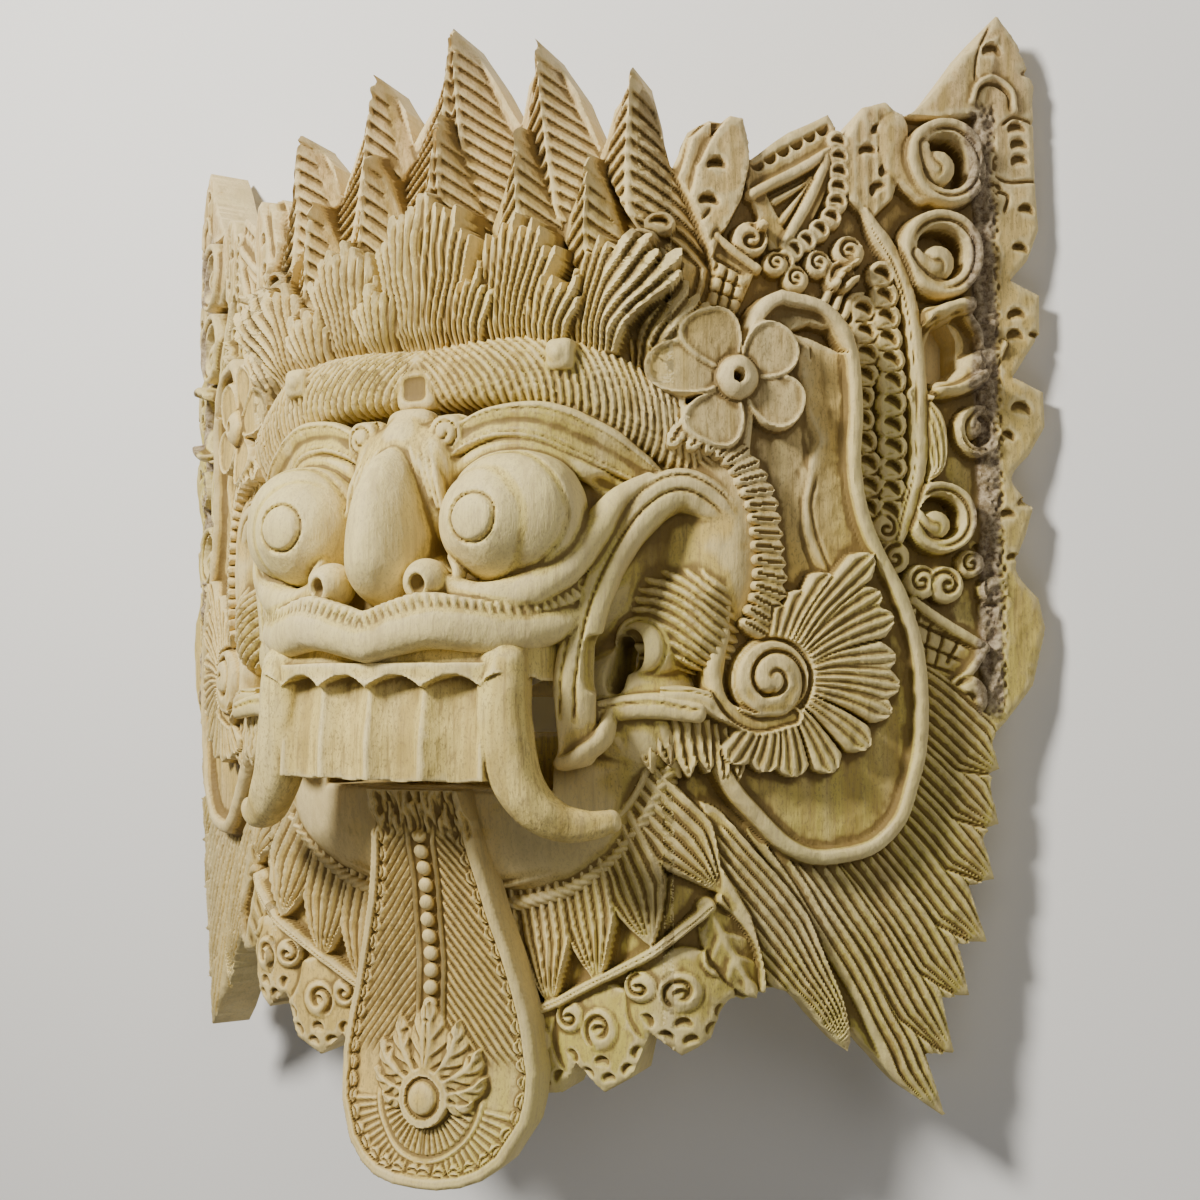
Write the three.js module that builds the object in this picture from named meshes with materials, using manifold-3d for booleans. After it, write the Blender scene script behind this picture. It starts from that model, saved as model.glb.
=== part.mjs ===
// Rangda mask: a hollow wall mask carved from one block of pale wood, with its ears,
// tusks and tongue in the same block. It is drawn face up: X runs across the face,
// Y up the mask and Z out of the face. Millimetres throughout.
import * as THREE from 'three';
import { mergeVertices } from 'three/addons/utils/BufferGeometryUtils.js';
import Module from 'manifold-3d';

const wasm = await Module();
wasm.setup();

// The plate is a flat middle, a short bend and a sloping wing on either side
const WALL = 16;
const ROUGH_WALL = 20;
const PLATE_TOP = 100;
const FLAT_HALF = 80;
const BEND_RADIUS = 40;
const BEND_ANGLE = THREE.MathUtils.degToRad(36.5);
const BACK_LEVEL = -4;
const BEND_STEPS = 1;

// How deep a carved form is rooted in the wood below it
const ROOT = 2.5;

// Main points of the face
const EYE_CENTRE = [44, 20, 148];
const EYE_RADIUS = 22.7;
const PUPIL_RADIUS = 8;
const NOSE_CENTRE = [0, 6, 150];
const TOOTH_WIDTH = 23;
const TOOTH_TOP = -40;
const TOOTH_BOTTOM = -79;
const TONGUE_THICKNESS = 10;

// Sections of carved forms, as steps across and up; a level below zero is the root
const ROOF = [[-1, -1], [0, 1], [1, -1]];
const BEVEL = [[-1, -1], [-0.92, 0.45], [0, 1], [0.92, 0.45], [1, -1]];

// A place on the plate: u is the distance across, h the height above the carved ground
function onPlate(u, y, h = 0) {
  const side = u < 0 ? -1 : 1;
  const across = Math.abs(u);
  const turn = THREE.MathUtils.clamp((across - FLAT_HALF) / BEND_RADIUS, 0, BEND_ANGLE);
  const run = Math.max(across - FLAT_HALF - BEND_RADIUS * BEND_ANGLE, 0);
  const x = Math.min(across, FLAT_HALF) + (BEND_RADIUS + h) * Math.sin(turn) + run * Math.cos(BEND_ANGLE);
  const z = PLATE_TOP - BEND_RADIUS * (1 - Math.cos(turn)) - run * Math.sin(BEND_ANGLE) + h * Math.cos(turn);
  return new THREE.Vector3(side * x, y, z);
}

const inSpace = (x, y, z) => new THREE.Vector3(x, y, z);

// A closed geometry from a list of corner triples, with its faces turned outwards
function closedGeometry(triangles) {
  const geometry = new THREE.BufferGeometry();
  geometry.setAttribute('position', new THREE.Float32BufferAttribute(triangles.flatMap((p) => p.toArray()), 3));
  const merged = mergeVertices(geometry, 1e-3);
  const index = merged.getIndex().array;
  const kept = [];
  for (let i = 0; i < index.length; i += 3) {
    const [a, b, c] = [index[i], index[i + 1], index[i + 2]];
    if (a !== b && b !== c && c !== a) kept.push([a, b, c]);
  }
  const place = merged.getAttribute('position');
  const corner = (k) => new THREE.Vector3().fromBufferAttribute(place, k);
  const volume = kept.reduce((sum, [a, b, c]) => sum + corner(a).dot(corner(b).cross(corner(c))), 0);
  const outward = volume < 0 ? kept.map(([a, b, c]) => [a, c, b]) : kept;
  merged.setIndex(outward.flat());
  return merged;
}

function toSolid(geometry) {
  return new wasm.Manifold(new wasm.Mesh({
    numProp: 3,
    vertProperties: new Float32Array(geometry.getAttribute('position').array),
    triVerts: new Uint32Array(geometry.getIndex().array),
  }));
}

function mirrored(geometry) {
  const copy = geometry.clone().scale(-1, 1, 1);
  const index = copy.getIndex().array;
  const turned = [];
  for (let i = 0; i < index.length; i += 3) turned.push(index[i], index[i + 2], index[i + 1]);
  copy.setIndex(turned);
  return copy;
}

const bothSides = (geometries) => geometries.flatMap((geometry) => [geometry, mirrored(geometry)]);

// A closed body through a row of rings of corners, with a fan over each end
function loft(rings) {
  const triangles = [];
  const count = rings[0].length;
  for (let i = 0; i + 1 < rings.length; i += 1) {
    for (let k = 0; k < count; k += 1) {
      const next = (k + 1) % count;
      triangles.push(rings[i][k], rings[i][next], rings[i + 1][next]);
      triangles.push(rings[i][k], rings[i + 1][next], rings[i + 1][k]);
    }
  }
  const first = rings[0];
  const last = rings[rings.length - 1];
  for (let k = 1; k + 1 < count; k += 1) {
    triangles.push(first[0], first[k + 1], first[k]);
    triangles.push(last[0], last[k], last[k + 1]);
  }
  return closedGeometry(triangles);
}

// Even stations on a smooth line through a few points [across, along, up]
function stations(points, count) {
  const curve = new THREE.CatmullRomCurve3(points.map(([a, b, c = 0]) => new THREE.Vector3(a, b, c)));
  return curve.getSpacedPoints(count - 1);
}

// A form carved along a line on the plate: half widths and heights at even stations
function carved(points, halfWidths, heights, section = ROOF, place = onPlate, root = ROOT) {
  const line = stations(points, halfWidths.length);
  const rings = line.map((point, i) => {
    const ahead = line[Math.min(i + 1, line.length - 1)];
    const behind = line[Math.max(i - 1, 0)];
    const run = new THREE.Vector2(ahead.x - behind.x, ahead.y - behind.y).normalize();
    return section.map(([across, up]) => {
      const shift = across * halfWidths[i];
      const rise = up < 0 ? -root : up * heights[i];
      return place(point.x + run.y * shift, point.y - run.x * shift, point.z + rise);
    });
  });
  return loft(rings);
}

const scaled = (profile, size) => profile.map((share) => share * size);

const leaf = (points, width, height) => carved(
  points,
  scaled([0.32, 0.5, 0], width),
  scaled([0.7, 1, 0.35], height),
);

const rib = (points, width, height, count = 6) => carved(
  points,
  new Array(count).fill(width / 2),
  new Array(count).fill(height),
);

// A spike of the crown: a blade with a sharp ridge, wide low down and drawn to a point
const spike = (foot, tip, width, height, root = ROOT) => carved(
  [foot, [(foot[0] + tip[0]) / 2, (foot[1] + tip[1]) / 2, (foot[2] + tip[2]) / 2], tip],
  scaled([0.45, 0.5, 0.38, 0], width),
  scaled([0.8, 1, 0.9, 0.1], height),
  root > ROOT ? BEVEL : ROOF,
  onPlate,
  root,
);

// A scroll: a roll that winds in towards a round eye
function scroll([u, y], radius, start, turns, width, height, side = 1) {
  const steps = Math.round(6 * turns) + 1;
  const points = [];
  const halfWidths = [];
  const heights = [];
  for (let i = 0; i < steps; i += 1) {
    const t = i / (steps - 1);
    const reach = radius * (1 - 0.62 * t);
    const angle = THREE.MathUtils.degToRad(start) + side * t * turns * 2 * Math.PI;
    points.push([u + reach * Math.cos(angle), y + reach * Math.sin(angle)]);
    halfWidths.push(width * (0.5 - 0.2 * t));
    heights.push(height * (0.75 + 0.25 * t));
  }
  return carved(points, halfWidths, heights);
}

// A small round boss
function boss([u, y, foot = 0], radius, height, sides = 6, place = onPlate) {
  const ring = (size, h) => Array.from({ length: sides }, (_, k) => {
    const angle = (2 * Math.PI * k) / sides;
    return place(u + size * Math.cos(angle), y + size * Math.sin(angle), foot + h);
  });
  return loft([ring(radius, -ROOT), ring(radius * 0.85, height * 0.65), ring(radius * 0.3, height)]);
}

// Triangles that fill an outline, all turned the way the outline runs
function filling(outline) {
  const flat = outline.map(([a, b]) => new THREE.Vector2(a, b));
  const runsBack = THREE.ShapeUtils.isClockWise(flat);
  return THREE.ShapeUtils.triangulateShape(flat, []).map(([a, b, c]) => {
    const turnsBack = THREE.ShapeUtils.isClockWise([flat[a], flat[b], flat[c]]);
    return turnsBack === runsBack ? [a, b, c] : [a, c, b];
  });
}

// A flat-topped form of any outline, from its root up to its own height
function terrace(outline, foot, height, place = onPlate) {
  const faces = filling(outline);
  const at = (k, h) => place(outline[k][0], outline[k][1], h);
  const triangles = [];
  for (const [a, b, c] of faces) {
    triangles.push(at(a, height), at(b, height), at(c, height));
    triangles.push(at(a, foot), at(c, foot), at(b, foot));
  }
  outline.forEach((_, k) => {
    const next = (k + 1) % outline.length;
    triangles.push(at(k, foot), at(next, foot), at(next, height));
    triangles.push(at(k, foot), at(next, height), at(k, height));
  });
  return closedGeometry(triangles);
}

// Ridges and furrows side by side in one body: each line runs from root to tip of one of them
function furrowed(lines, root = ROOT, place = onPlate) {
  return loft(lines.map((line) => {
    const first = line[0];
    const last = line[line.length - 1];
    const tops = line.map(([a, b, h]) => place(a, b, h));
    return [place(first[0], first[1], -root), ...tops, place(last[0], last[1], -root)];
  }));
}

// A furrow, a ridge, a furrow and so on, ending with a furrow
function comb(count, lineAt) {
  return Array.from({ length: 2 * count + 1 }, (_, k) => lineAt(k / 2, k % 2 === 1));
}

// The outline moved in by a fixed width
function inset(outline, width) {
  const turn = THREE.ShapeUtils.isClockWise(outline.map(([a, b]) => new THREE.Vector2(a, b))) ? 1 : -1;
  return outline.map(([a, b], k) => {
    const before = outline[(k + outline.length - 1) % outline.length];
    const after = outline[(k + 1) % outline.length];
    const run = new THREE.Vector2(after[0] - before[0], after[1] - before[1]).normalize();
    return [a + turn * width * run.y, b - turn * width * run.x];
  });
}

// A sunk panel inside a raised rim, as one body; floor and rim are heights at each point
function dish(outline, width, foot, rim, floor, place) {
  const inner = inset(outline, width);
  const ring = (points, level) => points.map(([a, b]) => place(a, b, level(a, b)));
  const rings = [
    ring(outline, () => foot), ring(outline, rim), ring(inner, rim), ring(inset(inner, 1.2), floor),
  ];
  const triangles = [];
  for (let i = 0; i + 1 < rings.length; i += 1) {
    outline.forEach((_, k) => {
      const next = (k + 1) % outline.length;
      triangles.push(rings[i][k], rings[i][next], rings[i + 1][next]);
      triangles.push(rings[i][k], rings[i + 1][next], rings[i + 1][k]);
    });
  }
  for (const [a, b, c] of filling(outline)) triangles.push(rings[0][a], rings[0][c], rings[0][b]);
  for (const [a, b, c] of filling(inner)) triangles.push(rings[3][a], rings[3][b], rings[3][c]);
  return closedGeometry(triangles);
}

// A tube in space with its own width and depth at each station
function tube(points, widths, depths, sides = 8) {
  const line = stations(points, widths.length);
  const out = new THREE.Vector3(0, 0, 1);
  const rings = line.map((point, i) => {
    const ahead = line[Math.min(i + 1, line.length - 1)];
    const behind = line[Math.max(i - 1, 0)];
    const run = ahead.clone().sub(behind).normalize();
    const across = run.clone().cross(out).normalize();
    const up = across.clone().cross(run);
    return Array.from({ length: sides }, (_, k) => {
      const angle = (2 * Math.PI * (k + 0.5)) / sides;
      return point.clone()
        .addScaledVector(across, widths[i] * Math.cos(angle))
        .addScaledVector(up, depths[i] * Math.sin(angle));
    });
  });
  return loft(rings);
}

// A rounded block: full is 2 for an egg and more for a squarer form
function mound([x, y, z], [a, bUp, bDown, c], full = 2, around = 14, rows = 7) {
  const bulge = (value) => Math.sign(value) * Math.abs(value) ** (2 / full);
  const rings = [];
  for (let i = 0; i <= rows; i += 1) {
    const lift = -Math.PI / 2 + (Math.PI * i) / rows;
    rings.push(Array.from({ length: around }, (_, k) => {
      const angle = (2 * Math.PI * k) / around;
      const reach = i === 0 || i === rows ? 0 : bulge(Math.cos(lift));
      const along = bulge(Math.sin(angle));
      return inSpace(
        x + a * reach * bulge(Math.cos(angle)),
        y + (along > 0 ? bUp : bDown) * reach * along,
        z + c * bulge(Math.sin(lift)),
      );
    }));
  }
  return loft(rings);
}

// Outline of the right half of the plate, from the middle of the crown round to the beard
const CROWN_EDGE = [
  [0, 242], [14, 220], [27, 198], [31, 215], [40, 229], [54, 208], [65, 180], [71, 197], [82, 210],
  [90, 192], [95.5, 169],
];
const WING_EDGE = [
  [103, 184], [112, 190], [124, 189], [128, 173], [145, 186], [162, 195], [168, 186], [176, 198], [186, 202],
  [195, 195], [206, 205], [217, 218], [227, 232], [239, 244.5], [248, 233], [255, 215], [255, 172], [255.5, 152],
  [250, 138], [242.5, 129], [256, 123], [256, 107], [243, 88], [257, 82], [257, 67], [249, 54], [239, 44],
  [251, 33], [247, 20], [240, 5], [252, -6], [255, -18], [249, -42], [237, -57], [230, -64],
];
const FEATHER_EDGE = [
  [234.6, -77], [228, -80], [233.4, -99], [224, -102], [231, -122], [218, -124], [227, -147], [213, -147],
  [219, -168], [206, -168], [212, -191], [199, -190], [207, -216], [193, -206], [178, -191], [168, -179],
  [166, -188], [154, -176], [143, -163],
];
const BEARD_EDGE = [
  [133, -158], [124, -163], [116, -160], [109, -176], [98, -182], [87, -174], [80, -192], [68, -199],
  [56, -188], [50, -201], [39, -203], [28, -192], [18, -204], [0, -196],
];

const BEARD_DROP = 4;

// Keeps the part of an outline on one side of a line along the mask
function clipped(outline, level, keepAbove) {
  const kept = [];
  outline.forEach((point, i) => {
    const next = outline[(i + 1) % outline.length];
    const inside = keepAbove ? point[0] >= level : point[0] <= level;
    const insideNext = keepAbove ? next[0] >= level : next[0] <= level;
    if (inside) kept.push(point);
    if (inside !== insideNext && point[0] !== level && next[0] !== level) {
      const share = (level - point[0]) / (next[0] - point[0]);
      kept.push([level, point[1] + share * (next[1] - point[1])]);
    }
  });
  return kept;
}

// Plain rectangles inside the plate that most of the carving stands on
const MIDDLE_PANEL = [[-72, -160], [72, -160], [72, 150], [-72, 150]];
const WING_PANEL = [[109, -120], [222, -120], [222, 165], [109, 165]];

// Front of one strip: its panel in two faces and a border of faces round it
function stripFront(strip, panel) {
  const flat = (points) => points.map(([a, b]) => new THREE.Vector2(a, b));
  const points = [...strip, ...panel];
  const border = THREE.ShapeUtils.triangulateShape(flat(strip), panel.length ? [flat(panel)] : []);
  const first = strip.length;
  const faces = panel.length ? [...border, [first, first + 1, first + 2], [first, first + 2, first + 3]] : border;
  const runsBack = THREE.ShapeUtils.isClockWise(flat(strip));
  return faces.flatMap((face) => {
    const [a, b, c] = face.map((k) => onPlate(...points[k]));
    const turnsBack = THREE.ShapeUtils.isClockWise(flat(face.map((k) => points[k])));
    return turnsBack === runsBack ? [a, b, c] : [a, c, b];
  });
}

// The plate: one outline cut into strips at the bend, each strip flat front and back
function plate() {
  const right = [...CROWN_EDGE, ...WING_EDGE, ...FEATHER_EDGE, ...BEARD_EDGE.map(([u, y]) => [u, y - BEARD_DROP])];
  const left = right.slice(1, -1).reverse().map(([u, y]) => [-u, y]);
  const outline = [...right, ...left];
  const levels = [];
  for (let i = 0; i <= BEND_STEPS; i += 1) levels.push(FLAT_HALF + (BEND_RADIUS * BEND_ANGLE * i) / BEND_STEPS);
  const cuts = [...levels.map((level) => -level).reverse(), ...levels];
  const panels = new Map([
    [0, WING_PANEL.map(([u, y]) => [-u, y])], [levels.length, MIDDLE_PANEL], [cuts.length, WING_PANEL],
  ]);
  const triangles = [];
  for (let i = 0; i <= cuts.length; i += 1) {
    let strip = outline;
    if (i > 0) strip = clipped(strip, cuts[i - 1], true);
    if (i < cuts.length) strip = clipped(strip, cuts[i], false);
    triangles.push(...stripFront(strip, panels.get(i) ?? []));
    for (const face of filling(strip)) {
      const [a, b, c] = face.map((k) => onPlate(...strip[k], -ROUGH_WALL));
      triangles.push(a, c, b);
    }
    strip.forEach((point, k) => {
      const next = strip[(k + 1) % strip.length];
      if (point[0] === next[0] && cuts.includes(point[0])) return;
      triangles.push(onPlate(...point), onPlate(...point, -ROUGH_WALL), onPlate(...next, -ROUGH_WALL));
      triangles.push(onPlate(...point), onPlate(...next, -ROUGH_WALL), onPlate(...next));
    });
  }
  return closedGeometry(triangles);
}

// Crown: two rows of spikes behind a row of fluted tufts
function crown() {
  const middle = [
    spike([0, 150, 2], [0, 242, 0], 46, 9),
    spike([0, 126, 18], [0, 197, 22], 36, 7, 24),
  ];
  const right = [
    spike([30, 145, 2], [40, 229, 0], 44, 9),
    spike([64, 130, 2], [82, 210, 0], 42, 9),
    spike([26, 120, 18], [36, 187, 20], 33, 7, 24),
    spike([52, 112, 16], [68, 171, 18], 31, 7, 24),
  ];
  const tuft = (u, foot, top, half, lean, count) => furrowed(comb(count, (k, isRidge) => {
    const off = (2 * k) / count - 1;
    const tip = top - 20 * off * off - (isRidge ? 0 : 5);
    const high = isRidge ? 0 : -3.5;
    return [
      [u + half * off, foot, 40 + high],
      [u + half * off * 0.9 + lean, tip, 35 + high],
    ];
  }), 0.5);
  return [
    ...middle,
    ...bothSides(right),
    tuft(0, 92, 163, 21, 0, 4),
    ...bothSides([tuft(36, 90, 148, 17, 4, 3), tuft(72, 82, 138, 20, 8, 3)]),
  ];
}

// Wing carving on the right: leaves, scrolls, the long rib and its row of scales
function wing() {
  const leaves = [
    [[[106, 140], [113, 168], [117, 188]], 30, 9],
    [[[168, 150], [178, 175], [186, 200]], 34, 9],
  ];
  const ribs = [
    [[[178, 152], [190, 133], [199, 100], [200, 60], [188, 12]], 8, 8, 6],
    [[[129, 159], [145, 169], [161, 178]], 5, 7, 2],
    [[[161, 178], [152, 158], [143, 140]], 5, 7, 2],
  ];
  const scales = furrowed(comb(5, (k, isRidge) => {
    const y = 134 - 24 * k;
    const u = 190 - 0.0011 * (y - 70) ** 2;
    return [[u - 15, y + 5, isRidge ? 6 : 0.6], [u + 2, y - 6, isRidge ? 6 : 0.6]];
  }));
  return [
    scales,
    ...leaves.map(([points, width, height]) => leaf(points, width, height)),
    ...ribs.map(([points, width, height, count]) => rib(points, width, height, count)),
    scroll([216, 177], 15, 200, 1, 10, 11, -1),
    scroll([210, 137], 15, 230, 1, 10, 11, -1),
    scroll([208, 28], 13, 200, 1, 9, 11, -1),
    boss([222, 92], 7, 6, 5),
    boss([218, -46], 9, 9, 5),
  ];
}

// Feathers fan out from under the ear, with a shorter one and a petal beside them
const FEATHER_TIPS = [[235, -77], [233, -99], [231, -122], [227, -147], [219, -168], [212, -191], [207, -216]];
const FEATHER_NOTCHES = [
  [228, -64], [228, -79], [224, -101], [218, -123], [213, -146], [206, -167], [199, -190], [180, -194],
];

function feathers() {
  const fan = furrowed(comb(FEATHER_TIPS.length, (k, isRidge) => {
    const [u, y] = isRidge ? FEATHER_TIPS[k - 0.5] : FEATHER_NOTCHES[k];
    const [footU, footY] = [170 - 7 * k, -50 - 11 * k];
    return [[footU, footY, isRidge ? 8 : 1], [u - 1, y + 1, isRidge ? 5 : 0.8]];
  }));
  return [
    fan,
    leaf([[118, -126], [142, -152], [166, -187]], 30, 8),
    leaf([[110, -132], [120, -146], [131, -160]], 18, 8),
  ];
}

// Beard: pointed locks under the jaw, a ribbon, and lobes along the bottom edge
const LOCK_TIPS = [[22, -172], [45, -167], [66, -156], [88, -140], [112, -119]];

function beard() {
  const locks = furrowed(comb(LOCK_TIPS.length, (k, isRidge) => {
    const turn = THREE.MathUtils.degToRad(78 - 15 * k);
    const [u, y] = isRidge ? LOCK_TIPS[k - 0.5] : [118 * Math.cos(turn), -62 - 88 * Math.sin(turn)];
    const foot = [96 * Math.cos(turn), -62 - 68 * Math.sin(turn)];
    return [[...foot, isRidge ? 8 : 2], [u, y - BEARD_DROP, isRidge ? 4 : 1]];
  }));
  const lobes = [[[92, -156], [99, -184]], [[66, -170], [68, -201]], [[40, -178], [40, -205]], [[13, -178], [15, -205]]];
  return [
    locks,
    ...lobes.map(([[u0, y0], [u1, y1]]) => leaf([[u0, y0], [(u0 + u1) / 2, (y0 + y1) / 2], [u1, y1]], 26, 6)),
  ];
}

// Ear: a long lobe standing off the wing, with a raised rim round a sunk panel
const EAR_EDGE = [
  [137, 117.5], [155, 114], [168, 100], [172.5, 80], [172, 45], [178, 20], [191, 0], [200, -30],
  [199, -65], [192, -94], [174, -111], [152, -114], [130, -102], [112, -82], [112, -20], [120, 50],
];
const EAR_RIM = 6.5;
const earFloor = (u, y) => THREE.MathUtils.clamp(7 + 0.05 * y, 4.5, 11);

function ear() {
  const rimLevel = (u, y) => earFloor(u, y) + 4.5;
  return [
    dish(EAR_EDGE, EAR_RIM, -ROOT, rimLevel, earFloor, onPlate),
    rib([[150, 84, 9], [158, 55, 7], [151, 22, 6], [159, -5, 6]], 6, 4, 4),
  ];
}

// Flower tucked in front of the ear top: five petals round a pierced boss
const FLOWER_CENTRE = [117.5, 79];
function flower() {
  const [u, y] = FLOWER_CENTRE;
  const petals = [118, 40, -25, 170, 245].map((degrees) => {
    const angle = THREE.MathUtils.degToRad(degrees);
    const reach = (r) => [u + r * Math.cos(angle), y + r * Math.sin(angle), 8];
    return carved([reach(5), reach(16), reach(27)], [6, 10.5, 4], [6, 8, 6], ROOF, onPlate, 2);
  });
  return [...petals, boss([u, y, 10], 9, 8, 7)];
}

// Cheek rosette: a strap that winds into a spiral, with a fan of rays over the ear
const ROSETTE_CENTRE = [131.6, -40];
const RAY_COUNT = 6;

function rosette() {
  const [u, y] = ROSETTE_CENTRE;
  const rays = furrowed(comb(RAY_COUNT, (k, isRidge) => {
    const degrees = 64 - (170 * k) / RAY_COUNT;
    const angle = THREE.MathUtils.degToRad(degrees);
    const reach = 52 - 0.12 * Math.abs(degrees + 20) - (isRidge ? 0 : 7);
    const at = (r, h) => [u + r * Math.cos(angle), y + r * Math.sin(angle), h];
    return [at(12, isRidge ? 15 : 12), at(reach, isRidge ? 15 : 11.5)];
  }));
  return [
    rays,
    boss([u, y], 20, 17, 9),
    boss([u, y, 16], 9, 4, 6),
    rib([[66, -50, 6], [92, -51, 8], [118, -55, 10]], 10, 8, 3),
  ];
}

// Cheek: the arch that hooks over beside the mouth, its ridged leaf and the hair fringe
function cheek() {
  const arch = tube(
    [[68, -66, 132], [70, -35, 134], [76, -6, 130], [86, 20, 118], [100, 33, 106], [114, 24, 96], [121, 2, 88],
      [122, -22, 82]],
    [7, 8, 8.5, 8, 8, 7],
    [7, 8, 8, 8, 8, 7],
    6,
  );
  const hook = tube([[104, 26, 104], [110, 14, 99], [103, 8, 98]], [6, 5.5, 2], [5, 5, 2], 5);
  const ridges = furrowed(comb(3, (k, isRidge) => [
    [82 + k, -6 - 12 * k, isRidge ? 11 : 6], [110, -5 - 11 * k, isRidge ? 13 : 7],
  ]));
  const fringe = furrowed(comb(4, (k, isRidge) => {
    const y = 60 - 19 * k;
    const u = 119 + 9 * Math.sin((Math.PI * k) / 4);
    return [[u - 7, y + 1, isRidge ? 12 : 7], [u + 8, y - 5, isRidge ? 10 : 4]];
  }));
  return [arch, hook, ridges, fringe];
}

// Brow side: the roll over the eye, the roll under it, and the band above
function brows() {
  const brow = tube(
    [[17, 58, 136], [34, 70, 138], [60, 76, 131], [84, 68, 119], [100, 52, 106]],
    [7, 10, 9, 6],
    [8, 10, 9, 7],
    5,
  );
  const curl = mound([19, 57, 138], [8, 8, 8, 8], 2, 7, 4);
  const underEye = tube(
    [[28, -8, 160], [50, -11, 154], [68, 2, 142], [76, 24, 130], [72, 44, 124]],
    [4, 5.5, 5.5, 4],
    [5, 6, 6, 5],
    5,
  );
  const band = tube(
    [[-1, 90, 132], [30, 94, 133], [62, 92, 126], [92, 78, 112], [108, 60, 98]],
    [13, 14, 12, 8],
    [10, 11, 10, 8],
    5,
  );
  const jewel = mound([62, 92, 134], [6, 6, 6, 6], 3, 6, 4);
  return [brow, curl, underEye, band, jewel];
}

function eye() {
  const ball = new THREE.SphereGeometry(EYE_RADIUS, 10, 7);
  ball.rotateX(Math.PI / 2);
  ball.translate(...EYE_CENTRE);
  ball.deleteAttribute('normal');
  ball.deleteAttribute('uv');
  const pupil = new THREE.CylinderGeometry(PUPIL_RADIUS, PUPIL_RADIUS + 1, 4, 8);
  pupil.rotateX(Math.PI / 2);
  pupil.translate(EYE_CENTRE[0] + 1.5, EYE_CENTRE[1] + 1, EYE_CENTRE[2] + EYE_RADIUS - 1);
  pupil.deleteAttribute('normal');
  pupil.deleteAttribute('uv');
  return [ball, pupil].map((geometry) => {
    const loose = geometry.toNonIndexed().getAttribute('position');
    return closedGeometry(Array.from({ length: loose.count }, (_, k) => new THREE.Vector3().fromBufferAttribute(loose, k)));
  });
}

// Middle of the face: the mound under the features, the nose and the upper lip
function middleFace() {
  const lip = tube(
    [[-70, -13, 134], [-50, -17, 154], [-26, -13, 168], [0, -20, 171], [26, -13, 168], [50, -17, 154], [70, -13, 134]],
    [5, 8, 9, 9.5, 9, 9.5, 9, 8, 5],
    [6, 8, 8.5, 9, 8, 9, 8.5, 8, 6],
    7,
  );
  return [
    mound([0, 22, 70], [98, 82, 62, 62], 3, 12, 5),
    mound([0, 24, 90], [60, 46, 46, 56], 2.6, 12, 5),
    mound(NOSE_CENTRE, [16.5, 46, 17, 29], 2, 12, 7),
    lip,
    ...bothSides([mound([23, -6, 166], [9, 9, 8, 10], 2, 7, 4)]),
  ];
}

// Upper teeth: four hollow-fronted incisors below a plain gum
function teeth() {
  const frontAt = (x) => 171 - 0.0038 * x * x;
  const front = [];
  for (let k = -2; k < 2; k += 1) {
    for (const share of [0, 0.25, 0.75]) {
      const x = (k + share) * TOOTH_WIDTH;
      front.push([x, frontAt(x) - (share === 0 ? 0 : 2.6)]);
    }
  }
  front.push([2 * TOOTH_WIDTH, frontAt(2 * TOOTH_WIDTH)]);
  const back = [[46, 150], [0, 156], [-46, 150]];
  const outline = [...front, ...back];
  const upright = (x, z, y) => inSpace(x, y, z);
  const gum = [[-52, 158], [-26, 171], [0, 173], [26, 171], [52, 158], [50, 120], [-50, 120]];
  return [terrace(outline, TOOTH_BOTTOM, TOOTH_TOP + 2, upright), terrace(gum, TOOTH_TOP, -14, upright)];
}

function tusk() {
  return tube(
    [[53, -36, 154], [55, -58, 157], [59, -80, 154], [70, -95, 145], [89, -94, 133]],
    [11, 11, 10.5, 9.5, 8, 4],
    [11, 11, 10.5, 9.5, 8, 4],
    7,
  );
}

// Lower jaw: a smooth bowl with a twisted border where it meets the beard
function jaw() {
  const border = [[-98, -70, 100], [-84, -100, 101], [-60, -122, 102], [-30, -132, 103], [0, -134, 103],
    [30, -132, 103], [60, -122, 102], [84, -100, 101], [98, -70, 100]];
  return [
    mound([0, -78, 92], [88, 12, 52, 34], 2.6, 12, 5),
    tube(border, new Array(9).fill(4), new Array(9).fill(5), 4),
  ];
}

// Tongue: a long hanging slab with a raised rim, a row of beads and a lotus near its tip
const TONGUE_EDGE = [
  [22, -92], [25, -108], [30, -130], [37, -155], [43, -178], [46, -195], [44, -214], [36, -228], [20, -238], [0, -240],
];
const tongueLevel = (y) => 122 + 0.0022 * (y + 170) ** 2;
const onTongue = (x, y, h) => inSpace(x, y, tongueLevel(y) + h);

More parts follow.
